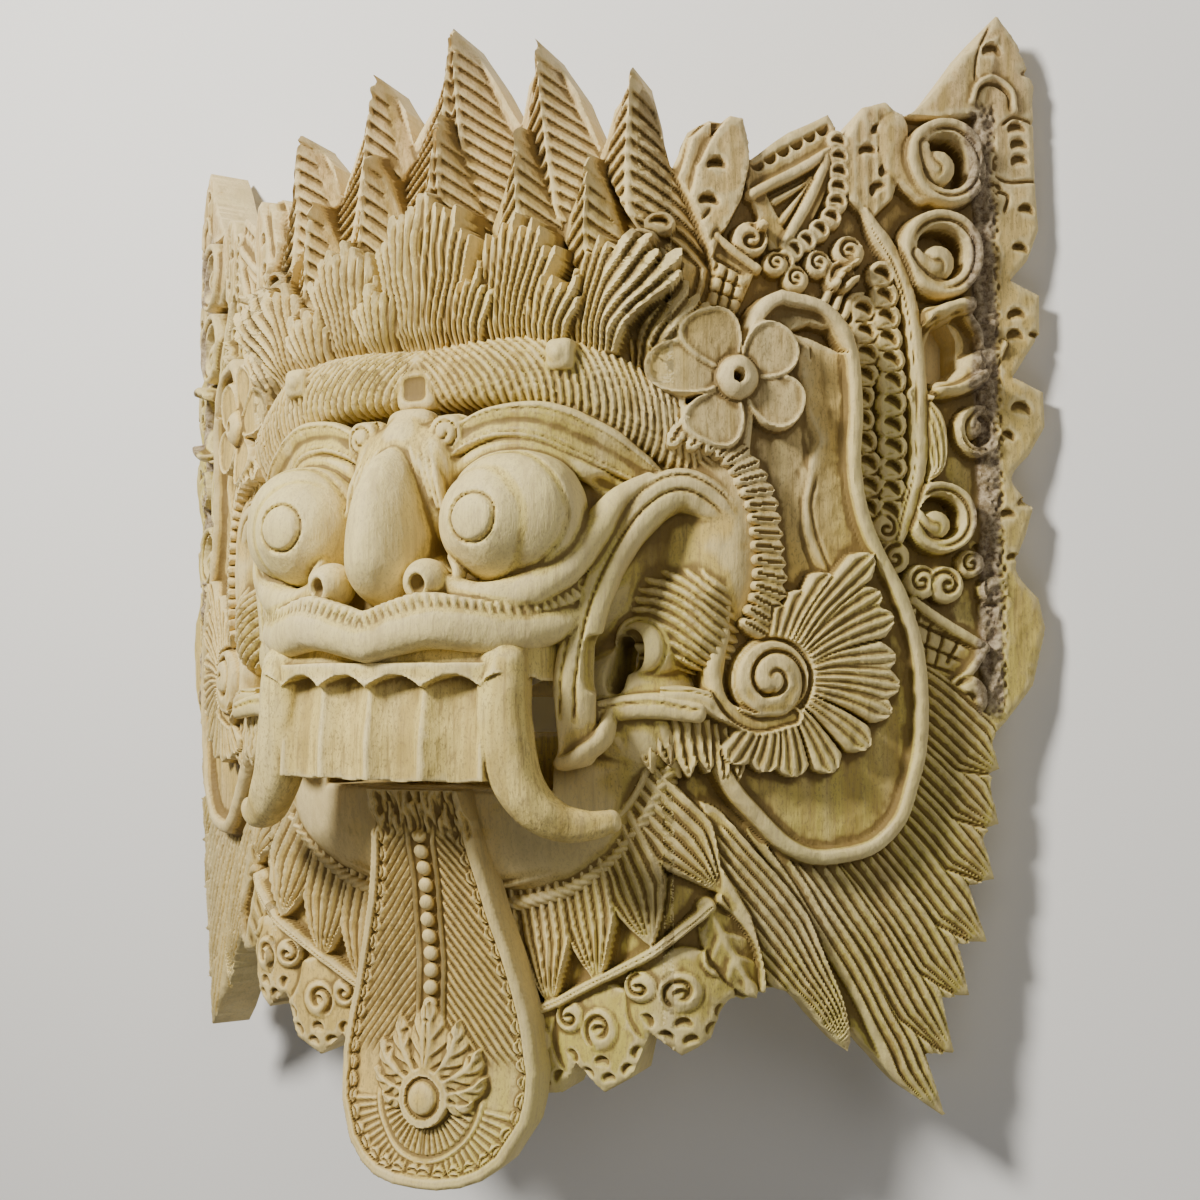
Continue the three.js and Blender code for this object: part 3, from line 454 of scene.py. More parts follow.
def wing_top(r):
    """Upper wing: flat rough edge lobes, scrolls, panels and bands of scales."""
    r.plateau([
        (226, 206), (212, 208), (239, 249), (262, 222), (262, -34), (232, -70), (226, -58), (234, -20),
        (229, 40), (233, 120), (231, 190),
    ], 5.6, edge=2.5)
    r.plateau([(190, 196), (222, 226), (240, 236), (232, 200), (210, 196)], 6.2, edge=2.0)
    # Leaf beside the crown, with two thumbnail cuts
    r.plateau([(97, 162), (103, 181), (112, 189), (110, 150), (99, 140)], lambda U, Y, d: 6 - 0.1 * d)
    r.plateau([(101, 150), (104, 168), (112, 182), (118, 190), (126, 190), (128, 172), (124, 156), (117, 142),
               (108, 134)], 8.4)
    r.gouge((112.5, 167.5), 4.6, 90, 5.5)
    r.gouge((109, 152), 4.6, 90, 5.5)
    r.furrow([(103, 180), (110, 187), (117, 188)], 2.4, 2.0)
    scroll(r, (127, 139), 7.5, 100, -330, 9)
    r.rib([(132, 160), (133.5, 150), (131, 144)], 5, 7)
    # Triangle panel with V bars and a scalloped top edge
    r.plateau([(126, 160), (127, 176), (146, 189), (163, 198), (168, 184), (160, 160), (147, 134), (136, 136)],
              4.6)
    for k in range(6):
        c = (131 + 5.6 * k, 172 + 3.4 * k)
        r.gouge((c[0], c[1]), 3.3, -60, 3.6)
    r.plateau([(134, 160), (157, 174), (144, 141)], 1.2)
    r.rib([(128, 158), (145, 168), (161, 178)], 5.2, 7.6, fall=1.4, base=0.0)
    r.rib([(161, 176), (152, 157), (142, 138)], 5.2, 7.6, fall=1.4, base=0.0)
    r.rib([(138, 156), (150, 164), (154, 168)], 4, 5.4, taper=2, fall=1.4, base=0.0)
    r.rib([(141, 148), (148, 158), (154, 167)], 4, 5.0, taper=2, fall=1.4, base=0.0)
    # Lobed panel with crescents, at the top middle of the wing
    r.plateau([(168, 184), (176, 199), (186, 204), (196, 196), (194, 176), (190, 160), (180, 150), (169, 158)],
              lambda U, Y, d: 6.8 + 0.5 * wave(U / 5))
    for u, y, turn in [(184, 188, 95), (178.5, 179, 95), (187, 171, 120), (183, 163, 130), (187, 180, 100)]:
        r.gouge((u, y), 4.2, turn, 4.2)
    scales(r, [(u, y, -10) for u, y in [(165.5, 183), (166, 176.5), (166, 170), (165.5, 163.5), (164.5, 157)]],
           5.2, 6.2)
    below = [(162, 150.5, -25), (157, 145, -35), (151.5, 140, -40), (146, 136, -45), (142, 131, -50)]
    scales(r, below, 5.0, 6)
    # Foliage between the ear and the bands
    for u, y, size in [(147, 124, 6), (157, 131, 6), (166, 126, 7), (170, 137, 7), (138, 130, 5.5)]:
        scroll(r, (u, y), size, 20, 300, 7.5)
    for k in range(5):
        r.stroke([(160 + 4 * k, 116 - 3 * k), (165 + 3 * k, 126 - 4 * k), (172 + 2 * k, 132 - 6 * k)],
                 lambda t: 4.2 - 1.5 * t, lambda t, v, d: 5.5 - 1.5 * v * v)
    # Crosshatched leaf above the flower
    r.plateau([(99, 104), (112, 140), (130, 126), (122, 106)], 5.0)
    for k in range(5):
        r.furrow([(103 + 4.6 * k, 106), (110 + 4.2 * k, 132 - 2.6 * k)], 2.6, 2.4)
    for k in range(4):
        r.furrow([(106 + 2 * k, 112 + 6.4 * k), (125, 108 + 5.6 * k)], 2.4, 2.0)
    r.rib([(100, 100), (106, 122), (113, 140)], 4.4, 8.2, fall=1.6, base=0.0)
    r.rib([(113, 139), (121, 133), (130, 127)], 4.4, 8.2, fall=1.6, base=0.0)
    # Right side scrolls and the pierced curl
    r.rib([(190, 190), (191, 176), (203, 165)], 15, 8.6, taper=3, fall=2, base=0.0)
    volute(r, (213, 177), 19, 215, 11.5, -8)
    volute(r, (210, 138), 19, 250, 11, -5)
    r.rib([(223, 118), (213, 114), (204, 113), (199, 106)], 8, 8, taper=3, fall=1.8)
    r.rib([(204, 110), (216, 116), (226, 108), (229, 99)], 6, 8, taper=2, fall=1.8)
    r.stroke([(209, 81), (220, 86), (232, 95), (238, 101)],
             lambda t: 15 * math.sin(math.pi * (0.18 + 0.72 * t)), lambda t, v, d: 9.5 - 4 * v * v, base=-1.0)
    r.rib([(204, 78), (216, 80), (230, 88)], 5, 7)
    volute(r, (226, 64), 11, 160, 9, -1)
    r.stroke([(198, 78), (205, 66), (207, 50), (203, 42)],
             lambda t: 13 * math.sin(math.pi * (0.2 + 0.75 * t)),
             lambda t, v, d: 7 + 1.1 * wave(2.2 * v) - 1.5 * v * v)
    volute(r, (208, 27), 15.5, 240, 10.5, -4)


def wing_edge(r):
    """Flat lobes along the outer edge, each with a few thumbnail cuts."""
    cuts = [
        (236, 227, 95, 5), (252, 219, 80, 3.4), (251, 228, 60, 3), (247, 194, 100, 4.6), (248, 187, 100, 4.6),
        (248, 180, 100, 4.6), (236, 168, 95, 4), (250, 159, 80, 4), (247, 142, 80, 4), (245, 113, 95, 4.4),
        (244, 104, 95, 4.4), (253, 105, 70, 3), (246, 73, 80, 5), (240, 62, 60, 3.4), (247, 33, 80, 4),
        (239, 28, 100, 4), (233, 10, 90, 3.6), (241, 10, 90, 3.4), (228, 14, 90, 3.4),
    ]
    for u, y, turn, size in cuts:
        r.gouge((u, y), size, turn, 3.4)
    r.rib([(226, 205), (229, 213), (237, 217), (244, 212), (246, 203)], 3.2, 1.6, fall=1.2)
    r.furrow([(228, 206), (231, 212), (237, 214), (243, 210), (244, 203)], 2.2, 1.8)
    r.furrow([(240, 196), (246, 200), (256, 198)], 2.4, 1.8)
    r.furrow([(236, 174), (244, 172), (256, 173)], 2.4, 2.0)
    r.furrow([(233, 160), (236, 167), (242, 166), (240, 158)], 2.4, 2.4)
    r.furrow([(236, 240), (229, 226), (228, 214)], 2.0, 1.2)


def wing_middle(r):
    """Long smooth rib with two columns of scales beside it, down to the foliage."""
    places_b = [(176 + 1.5 * math.sin(k), 113 - 9.2 * k, -25) for k in range(12)]
    places_a = [(187.5 - 0.0012 * (128 - 9 * k - 70) ** 2 + 1.0, 128 - 9 * k, -30) for k in range(14)]
    scales(r, places_b, 6.4, 5.0, 5.0)
    scales(r, places_a, 6.6, 5.6, 5.0)
    for u, y, _ in places_a + places_b:
        r.furrow([(u - 4.5, y - 5.5), (u + 3, y - 4.5), (u + 5.5, y - 1)], 1.8, 1.6)
    rib = [(177, 154), (190, 134), (197.5, 112), (200, 87), (200, 62), (197.5, 40), (188, 12)]

    def round_rib(t, v, d):
        return 7.8 - 1.8 * np.abs(v) ** 2.5 - 1.3 * np.clip(1 - np.abs(v + 0.55) / 0.2, 0, 1)

    r.stroke(rib, lambda t: 7.4 * min(1, 0.5 + 6 * t, 0.45 + 6 * (1 - t)), round_rib, base=0.0)
    for centre, size, start, sweep in [
        ((188, 10), 7, 60, 320), ((200, 0), 7.5, 20, 330), ((211, -1), 8, 160, -330), ((222, 8), 6, 60, 300),
        ((232, -3), 6, 100, 300), ((195, -14), 6, 60, 300), ((184, 22), 6, 90, -300),
    ]:
        scroll(r, centre, size, start, sweep, 8)
    # Crosshatched wedge and its two bars
    r.plateau([(197, -9), (227, -27), (203, -53), (196, -40)], 4.5)
    for k in range(4):
        r.furrow([(199 + 6 * k, -12 - 4 * k), (196 + 5 * k, -38 + 1.5 * k)], 2.4, 2.2)
        r.furrow([(197, -16 - 8 * k), (222 - 4.4 * k, -27 - 5 * k)], 2.4, 2.2)
    r.rib([(196, -8), (212, -18), (228, -27)], 5, 8.2, fall=2, base=0.0)
    r.rib([(228, -27), (216, -41), (203, -53)], 5, 8.2, fall=2, base=0.0)
    scroll(r, (219, -47), 9.5, 90, 320, 9)
    for centre, size, start in [((208, -62), 8.5, 170), ((218, -61), 6.5, 120), ((205, -74), 7, 200)]:
        scroll(r, centre, size, start, -330, 7.6)
    for k in range(5):
        r.stroke([(222 + 0.5 * k, -56 - 5 * k), (229 + 1.4 * k, -60 - 5 * k), (236, -68 - 3 * k)],
                 lambda t: 4.6 - 2 * t, lambda t, v, d: 4.6 - 1.5 * v * v)


TIPS = [(236, -79), (235, -101), (232.5, -124), (228, -149), (220, -170), (213, -193), (208, -218)]


def feathers(r):
    """The fan of feathers under the ear, an inner long one and a short petal."""
    r.plateau([(100, -60), (232, -60), (242, -100), (215, -225), (100, -120)], 0.6)
    for k in reversed(range(len(TIPS))):
        a = math.radians(35 + 4.2 * k)
        length = 88 + 9 * k
        tip = TIPS[k]
        foot = (tip[0] - length * math.cos(a), tip[1] + length * math.sin(a))
        mid = (tip[0] - 0.48 * length * math.cos(a) + 2.5, tip[1] + 0.48 * length * math.sin(a) + 3.5)
        feather(r, [foot, mid, tip], 27, 3.4 + 0.12 * k, 6.5, tip=0.2, tilt=1.5)
    feather(r, [(104, -104), (130, -134), (150, -161), (168, -190)], 31, 5.2, 8, tip=0.55, tilt=1.0)
    feather(r, [(98, -112), (112, -134), (121, -148), (131, -163)], 24, 7.0, 4, tip=0.5, tilt=0.8)
    r.gouge((116, -141), 4.5, 100, 2.5)


LOCKS = [(22, -176), (45, -171), (66, -160), (88, -144), (112, -123)]


def beard(r):
    """Pointed locks round the jaw, a ribbon across their ends and a border of lobes."""
    r.plateau([(-3, -50), (100, -50), (112, -124), (98, -190), (50, -212), (-3, -212)], 1.0)
    lobes = [((13, -190), 17), ((40, -189), 19), ((68, -182), 22), ((99, -166), 21)]
    for (u, y), size in lobes:
        r.disc((u, y), size, lambda d: 6.2 - 2.2 * (d / size) ** 3, edge=1.4)
        scroll(r, (u - 1, y + 4), 0.38 * size, 250, -360, 8.2)
        for turn in (-150, -115, -80, -45, -15):
            a = math.radians(turn)
            spot = (u + 0.72 * size * math.cos(a), y + 0.72 * size * math.sin(a))
            r.gouge(spot, 3.2, turn + 180, 2.6)
        r.gouge((u, y - 0.42 * size), 3.4, 90, 2.8)
    for u, y in [(26, -178), (54, -174), (84, -160), (112, -150)]:
        scroll(r, (u, y), 6.5, 80, 320, 8)
    leaf(r, [(108, -130), (118, -148), (128, -166)], 19, 4, 7.5)
    for k in reversed(range(len(LOCKS))):
        a = math.radians(80 - 15 * k)
        u, y = LOCKS[k]
        foot = (84 * math.cos(a), -62 - 58 * math.sin(a))
        mid = ((foot[0] + u) / 2 + 1.5, (foot[1] + y) / 2)
        feather(r, [foot, mid, (u, y)], 27, 6.4, 6, tip=0.45, tilt=1.0)
    feather(r, [(0, -112), (0, -150), (0, -180)], 28, 6.4, 6, tip=0.4, tilt=0.0)
    ribbon = [(-3, -181), (20, -180), (39.6, -173), (63, -161), (88, -147), (109, -129)]

    def split(t, v, d):
        return 8.6 - 1.4 * v * v - 1.0 * np.clip(1 - np.abs(v) / 0.25, 0, 1)

    r.stroke(ribbon, lambda t: 4.6, split, base=0.0)


EAR_EDGE = [
    (137, 117.5), (155, 114), (166, 104), (171, 92), (172.5, 78), (172, 45), (174, 30), (180, 15),
    (191, -4), (198, -25), (200, -46), (199, -68), (193, -92), (184, -105), (172, -112), (152, -114),
    (140, -110), (128, -100), (112, -82), (104, -60), (108, -20), (114, 30), (118, 60), (122, 100),
    (129, 113),
]


def ear(r):
    """Long ear lobe standing off the wing: a smooth raised rim round a sunk panel."""
    def face(U, Y, d):
        floor = np.clip(9.5 + 0.02 * Y, 7.5, 11.5)
        rim = 5.6 * (1 - smooth(d, 5.6, 8.2))
        fall = 3.4 * np.clip(1 - d / 4.2, 0, 1) ** 2
        return floor + rim - fall

    r.plateau([tuple(p) for p in curve(EAR_EDGE + EAR_EDGE[:1], 170)][:-1], face, edge=2.0)
    r.plateau([(143, 101), (150, 104), (158, 102), (163, 95), (165, 92), (158, 95), (150, 98), (143, 100)],
              4.0)
    fold = [(150, 88), (153, 70), (158, 56), (152, 40), (151, 22), (159, 4), (163, -8)]
    r.stroke(fold, lambda t: 13 * (1 - 0.3 * t),
             lambda t, v, d: 2.2 * smooth(-v, -1, 0.6) * (1 - 0.5 * t), edge=4.0)
    r.furrow([(147, 62), (149, 45), (146, 30), (148, 12), (156, -4)], 3.4, 0.8)
    r.furrow([(153, 42), (150, 30), (153, 16), (160, 0)], 3.0, 0.9)


def fringe(r):
    """Short strokes of hair that stand round the cheek."""
    def strand(t, v, d):
        return 17.5 - 3 * t + 1.4 * np.sqrt(np.clip(1 - v * v, 0, 1)) - 1.2 * (np.abs(v) < 0.22)

    line = curve([(97, 58), (112, 54), (122, 44), (128, 30), (130.5, 14), (131, -4), (126, -20)], 18)
    heading = np.gradient(line, axis=0)
    for (u, y), (run_u, run_y) in zip(line, heading):
        size = math.hypot(run_u, run_y)
        out_u, out_y = -run_y / size, run_u / size
        a = (u - 6 * out_u, y - 6 * out_y)
        b = (u + 6.5 * out_u + 1.2, y + 6.5 * out_y - 2.0)
        r.stroke([a, b], lambda t: 6.6 * min(1, 0.7 + t, 5 * (1.02 - t)), strand, base=0.0, edge=0.9)


FLOWER = (117.5, 79)


def flower(r):
    """Five broad petals, sunk with a raised rim, round a pierced boss."""
    for turn in (245, 170, -25, 118, 40):
        a = math.radians(turn)
        middle = (FLOWER[0] + 17 * math.cos(a), FLOWER[1] + 17 * math.sin(a))
        out, over = (math.cos(a), math.sin(a)), (-math.sin(a), math.cos(a))
        corners = []
        for k in range(28):
            t = 2 * math.pi * k / 28
            x, w = 13.5 * math.cos(t), 11.6 * math.sin(t) * (1 + 0.22 * math.cos(t))
            corners.append((middle[0] + x * out[0] + w * over[0], middle[1] + x * out[1] + w * over[1]))

        def face(U, Y, d):
            reach = (U - FLOWER[0]) * out[0] + (Y - FLOWER[1]) * out[1]
            return 15.5 + 0.10 * reach + 1.2 * (1 - smooth(d, 1.2, 3.0)) - 1.4 * np.clip(1 - d / 1.3, 0, 1)

        r.plateau(corners, face, edge=1.4)
    r.disc(FLOWER, 9.4, lambda d: 14 + 8.5 * dome(d / 9.6))
    r.disc(FLOWER, 4.4, 21.8, edge=0.8)
    r.disc(FLOWER, 2.4, 10, edge=0.8)


ROSETTE = (131.6, -40.0)


def rosette(r):
    """Strap from the corner of the mouth winding into a curl, with a fan of fluted rays."""
    u, y = ROSETTE
    # Leaf-tip fringe hanging below the strap
    for k in range(7):
        a = (78 + 6.6 * k, -52 - 0.9 * k)
        b = (83 + 6.0 * k, -72 - 1.3 * k - 3 * (k % 2))
        feather(r, [a, b], 8.6, 12.5, 2.4, tip=0.4, tilt=0.5)
    rays = [
        (76, 30), (67, 38), (59, 49), (49, 66), (37, 58), (25.7, 58), (10, 53), (-3, 54), (-15, 52),
        (-34, 49), (-55, 45), (-76, 40), (-96, 37), (-118, 37),
    ]
    order = [0, 13, 1, 12, 2, 11, 4, 6, 8, 10, 7, 9, 5, 3]
    for k in order:
        turn, reach = rays[k]
        a = math.radians(turn)
        bow = math.radians(turn + 4)
        mid = (u + 0.55 * reach * math.cos(bow), y + 0.55 * reach * math.sin(bow))
        tip = (u + reach * math.cos(a), y + reach * math.sin(a))

        def wide(t):
            return 4 + 11.5 * t if t < 0.86 else 14 * math.sqrt(max((1 - t) / 0.14, 0)) + 0.5

        def face(t, v, d):
            return 17.6 - 2.2 * t + 1.3 * wave(1.5 * (v + 1)) - 0.8 * v * v

        r.stroke([(u + 8 * math.cos(a), y + 8 * math.sin(a)), mid, tip], wide, face, base=0.0, edge=1.1)

    # Strap and curl
    def rolled(t, v, d):
        line = 1.2 * np.clip(1 - np.abs(v - 0.45) / 0.16, 0, 1)
        return 19.5 - 1.6 * v * v + 1.2 * smooth(-v, 0.2, 0.9) - line

    r.disc(ROSETTE, 17, 14.5)
    r.stroke([(66, -46), (84, -47.5), (100, -47), (112, -53), (126, -57.5), (140, -54.5)],
             lambda t: 9.5 - 1.5 * t, rolled, base=0.0)
    r.rib([(112, -22), (108, -36), (112, -50), (124, -58), (140, -55)], 6.5, 16.5, base=0.0)
    r.disc(ROSETTE, 15.2, lambda d: 19.6 + 1.2 * np.cos(math.pi * np.clip(d / 15.2, 0, 1)), edge=1.4)
    turn = spiral(ROSETTE, 15.0, -62, 560, 2.0, 60)
    r.furrow(turn, 3.0, 3.2, count=90)
    r.gouge((u - 2.5, y - 4.5), 3.6, -80, 3.4)


# Middle of the band of rough bark: across the plate in mm, and across the frame in metres
BARK_U = 232.6
BARK_ACROSS = 0.2098


def half_plate():
    """Carves the right half of the plate, from the lowest forms to the topmost."""
    r = Relief((-3, -222), (262, 250), PLATE_PITCH)
    U, Y = r.grid()
    r.h[:] = 0.5 * lattice_noise(U / 9, Y / 9, 0 * U, 3)
    for carve in (wing_top, wing_edge, wing_middle, feathers, beard, crown, ear, fringe, flower, rosette):
        carve(r)
    # Marks of the knife, and the rough bark left in a band near the edge
    r.h += 0.30 * lattice_noise(U / 6, Y / 8, 0 * U, 31) + 0.16 * lattice_noise(U / 2.3, Y / 3.1, 0 * U, 32)
    bark = smooth(4.6 + 1.2 * lattice_noise(U / 5, Y / 5, 0 * U, 33) - np.abs(U - BARK_U), -0.7, 0.7)
    bark = bark * smooth(Y, -60, -50) * smooth(-Y, -207, -200)
    crumbs = lattice_noise(U / 1.5, Y / 1.5, 0 * U, 34) + 0.7 * lattice_noise(U / 3.4, Y / 3.4, 0 * U, 35)
    r.h = r.h * (1 - 0.6 * bark) + bark * (2.6 + 1.1 * crumbs)
    return r


def mesh_object(name, points, faces, material):
    """A mesh in the frame, smooth but for its sharp edges."""
    mesh = bpy.data.meshes.new(name)
    faces = np.asarray(faces, np.int32)
    sides = faces.shape[1]
    mesh.vertices.add(len(points))
    mesh.vertices.foreach_set("co", placed(points).astype(np.float32).ravel())
    mesh.loops.add(faces.size)
    mesh.loops.foreach_set("vertex_index", faces.ravel())
    mesh.polygons.add(len(faces))
    mesh.polygons.foreach_set("loop_start", np.arange(len(faces), dtype=np.int32) * sides)
    mesh.update(calc_edges=True)
    mesh.validate()
    mesh.polygons.foreach_set("use_smooth", np.ones(len(mesh.polygons), bool))
    mesh.set_sharp_from_angle(angle=SHARP_ANGLE)
    mesh.materials.append(material)
    obj = bpy.data.objects.new(name, mesh)
    bpy.context.scene.collection.objects.link(obj)
    return obj


def thinned(obj, most):
    """Merges the flattest faces until no more than this many triangles are left."""
    count = sum(len(p.vertices) - 2 for p in obj.data.polygons)
    if count > most:
        change = obj.modifiers.new("thin", "DECIMATE")
        change.ratio = most / count
        graph = bpy.context.evaluated_depsgraph_get()
        mesh = bpy.data.meshes.new_from_object(obj.evaluated_get(graph))
        obj.modifiers.clear()
        obj.data = mesh
    return obj


def with_values(obj, name, values):
    """Keeps one number for each point, for the material to read."""
    attribute = obj.data.attributes.new(name, "FLOAT", "POINT")
    attribute.data.foreach_set("value", np.asarray(values, np.float32))


def piece(obj):
    """Rides on the one body and stands for the CAD solid."""
    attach(obj, "root")
    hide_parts("mask")
    return obj


def outline_depth(U, Y):
    """Distance inside the plate's edge and outside its pierced curl."""
    half = eased(OUTLINE)
    left = [(-u, y) for u, y in half[1:-1]][::-1]
    return np.minimum(polygon_depth(U, Y, half + left), -polygon_depth(U, Y, EYELET))


def slab(name, U, Y, h, depth, keep, material, sheet=on_plate, under=back_height, steps=(9.0, 15.0)):
    """A closed carved sheet: worked front, cut walls and a plain back."""
    pitch = abs(U[1, 0] - U[0, 0])
    grad_u, grad_y = np.gradient(depth, pitch)
    steep = np.maximum(np.hypot(grad_u, grad_y), 0.3)
    used = np.zeros(U.shape, int)
    for a in (0, 1):
        for b in (0, 1):
            used[a:U.shape[0] - 1 + a, b:U.shape[1] - 1 + b] += keep
    rim = (used > 0) & (used < 4) & (np.abs(depth) < 1.3 * pitch)
    U = np.where(rim, U - depth * grad_u / steep**2, U)
    Y = np.where(rim, Y - depth * grad_y / steep**2, Y)
    # A hand-cut line wanders a little
    off_u, off_y = (0.5 * lattice_noise(U / 17, Y / 17, 0 * U, seed) for seed in (41, 42))
    U, Y = U + off_u, Y + off_y
    number = -np.ones(U.shape, int)
    number[used > 0] = np.arange((used > 0).sum())
    front = sheet(U, Y, h)[used > 0]
    i, j = np.nonzero(keep)
    a, b, c, d = number[i, j], number[i + 1, j], number[i + 1, j + 1], number[i, j + 1]
    high = h[i, j] + h[i + 1, j + 1] > h[i + 1, j] + h[i, j + 1]
    top = np.where(high[:, None, None], np.stack([np.stack([a, b, c], -1), np.stack([a, c, d], -1)], 1),
                   np.stack([np.stack([a, b, d], -1), np.stack([b, c, d], -1)], 1)).reshape(-1, 3)
    # Outer edges, each run once in the direction of its cell
    sides = np.concatenate([np.stack(ends, -1) for ends in ((a, b), (b, c), (c, d), (d, a))])
    total = len(front) + 1
    code, back_code = sides[:, 0] * total + sides[:, 1], sides[:, 1] * total + sides[:, 0]
    sides = sides[~np.isin(code, back_code)]
    rim_points = np.unique(sides)
    place = -np.ones(len(front), int)
    place[rim_points] = np.arange(len(rim_points))
    flat_u, flat_y = U[used > 0], Y[used > 0]
    columns, rows = np.arange(-252, 253, steps[0]), np.arange(-240, 244, steps[1])
    inner_u, inner_y = np.meshgrid(columns, rows, indexing="ij")
    share_u = (inner_u - U[0, 0]) / (U[-1, 0] - U[0, 0])
    share_y = (inner_y - Y[0, 0]) / (Y[0, -1] - Y[0, 0])
    cell_u = np.clip((share_u * (U.shape[0] - 1)).astype(int), 0, keep.shape[0] - 1)
    cell_y = np.clip((share_y * (U.shape[1] - 1)).astype(int), 0, keep.shape[1] - 1)
    within = (inner_u > U.min() + 3) & (inner_u < U.max() - 3)
    within &= keep[cell_u, cell_y] & (depth[cell_u, cell_y] > 5)
    flat = [Vector(p) for p in zip(flat_u[rim_points], flat_y[rim_points])]
    flat += [Vector(p) for p in zip(inner_u[within], inner_y[within])]
    edges = [(int(p), int(q)) for p, q in place[sides]]
    _, _, cells, origin, _, _ = delaunay_2d_cdt(flat, edges, [], 2, 1e-5)
    names = [min(o) if o else -1 for o in origin]
    triangles = [[names[k] for k in cell] for cell in cells if len(cell) == 3]
    back_faces = np.array([face for face in triangles if min(face) >= 0])
    back_uy = np.array([tuple(p) for p in flat])
    back = sheet(back_uy[:, 0], back_uy[:, 1], under(back_uy[:, 0]))
    n = len(front)
    corner = back_uy[back_faces]
    area = np.cross(corner[:, 1] - corner[:, 0], corner[:, 2] - corner[:, 0])
    back_faces = np.where((area > 0)[:, None], back_faces[:, ::-1], back_faces) + n
    p, q = sides[:, 0], sides[:, 1]
    low_p, low_q = place[p] + n, place[q] + n
    walls = np.concatenate([np.stack([q, p, low_p], -1), np.stack([q, low_p, low_q], -1)])
    obj = mesh_object(name, np.concatenate([front, back]), np.concatenate([top, walls, back_faces]), material)
    return piece(thinned(obj, PLATE_MOST))


def between(values):
    """What a value is in the middle of each cell."""
    return (values[:-1, :-1] + values[1:, 1:]) / 2


def mirrored_grid(r, depth, keep):
    """Places, heights, depths and cells of the right half, with the left half added."""
    middle = int(round(-r.low[0] / r.pitch))
    U, Y = r.grid()
    both = []
    for values, sign in ((U, -1), (Y, 1), (r.h, 1), (depth, 1)):
        both.append(np.concatenate([sign * values[middle + 1:][::-1], values[middle:]]))
    return both, np.concatenate([keep[middle:][::-1], keep[middle:]])


def plate_pieces(material):
    """Both wings, the crown and the beard, cut from one carved sheet."""
    r = half_plate()
    U, Y = r.grid()
    depth = outline_depth(U, Y)
    r.h = np.where(depth < 3.0, r.h - 1.1 * (1 - np.clip(depth / 3.0, 0, 1)) ** 2, r.h)
    inside = between(depth) > 0
    wing = inside & (U[:-1, :-1] >= np.where(Y[0, :-1] > STEP_Y, *WING_FROM))
    made = [
        slab("wing_right", U, Y, r.h, depth, wing, material),
        slab("wing_left", -U[::-1], Y[::-1], r.h[::-1], depth[::-1], wing[::-1], material),
    ]
    both, cells = mirrored_grid(r, depth, inside)
    seam = r.low[0] + r.pitch * round((SEAM - r.low[0]) / r.pitch)
    near = cells & (np.abs(between(both[0])) < seam)
    height = between(both[1])
    made.append(slab("crown", *both, near & (height > CROWN_FOOT), material))
    made.append(slab("beard", *both, near & (height < BEARD_TOP), material))
    return made


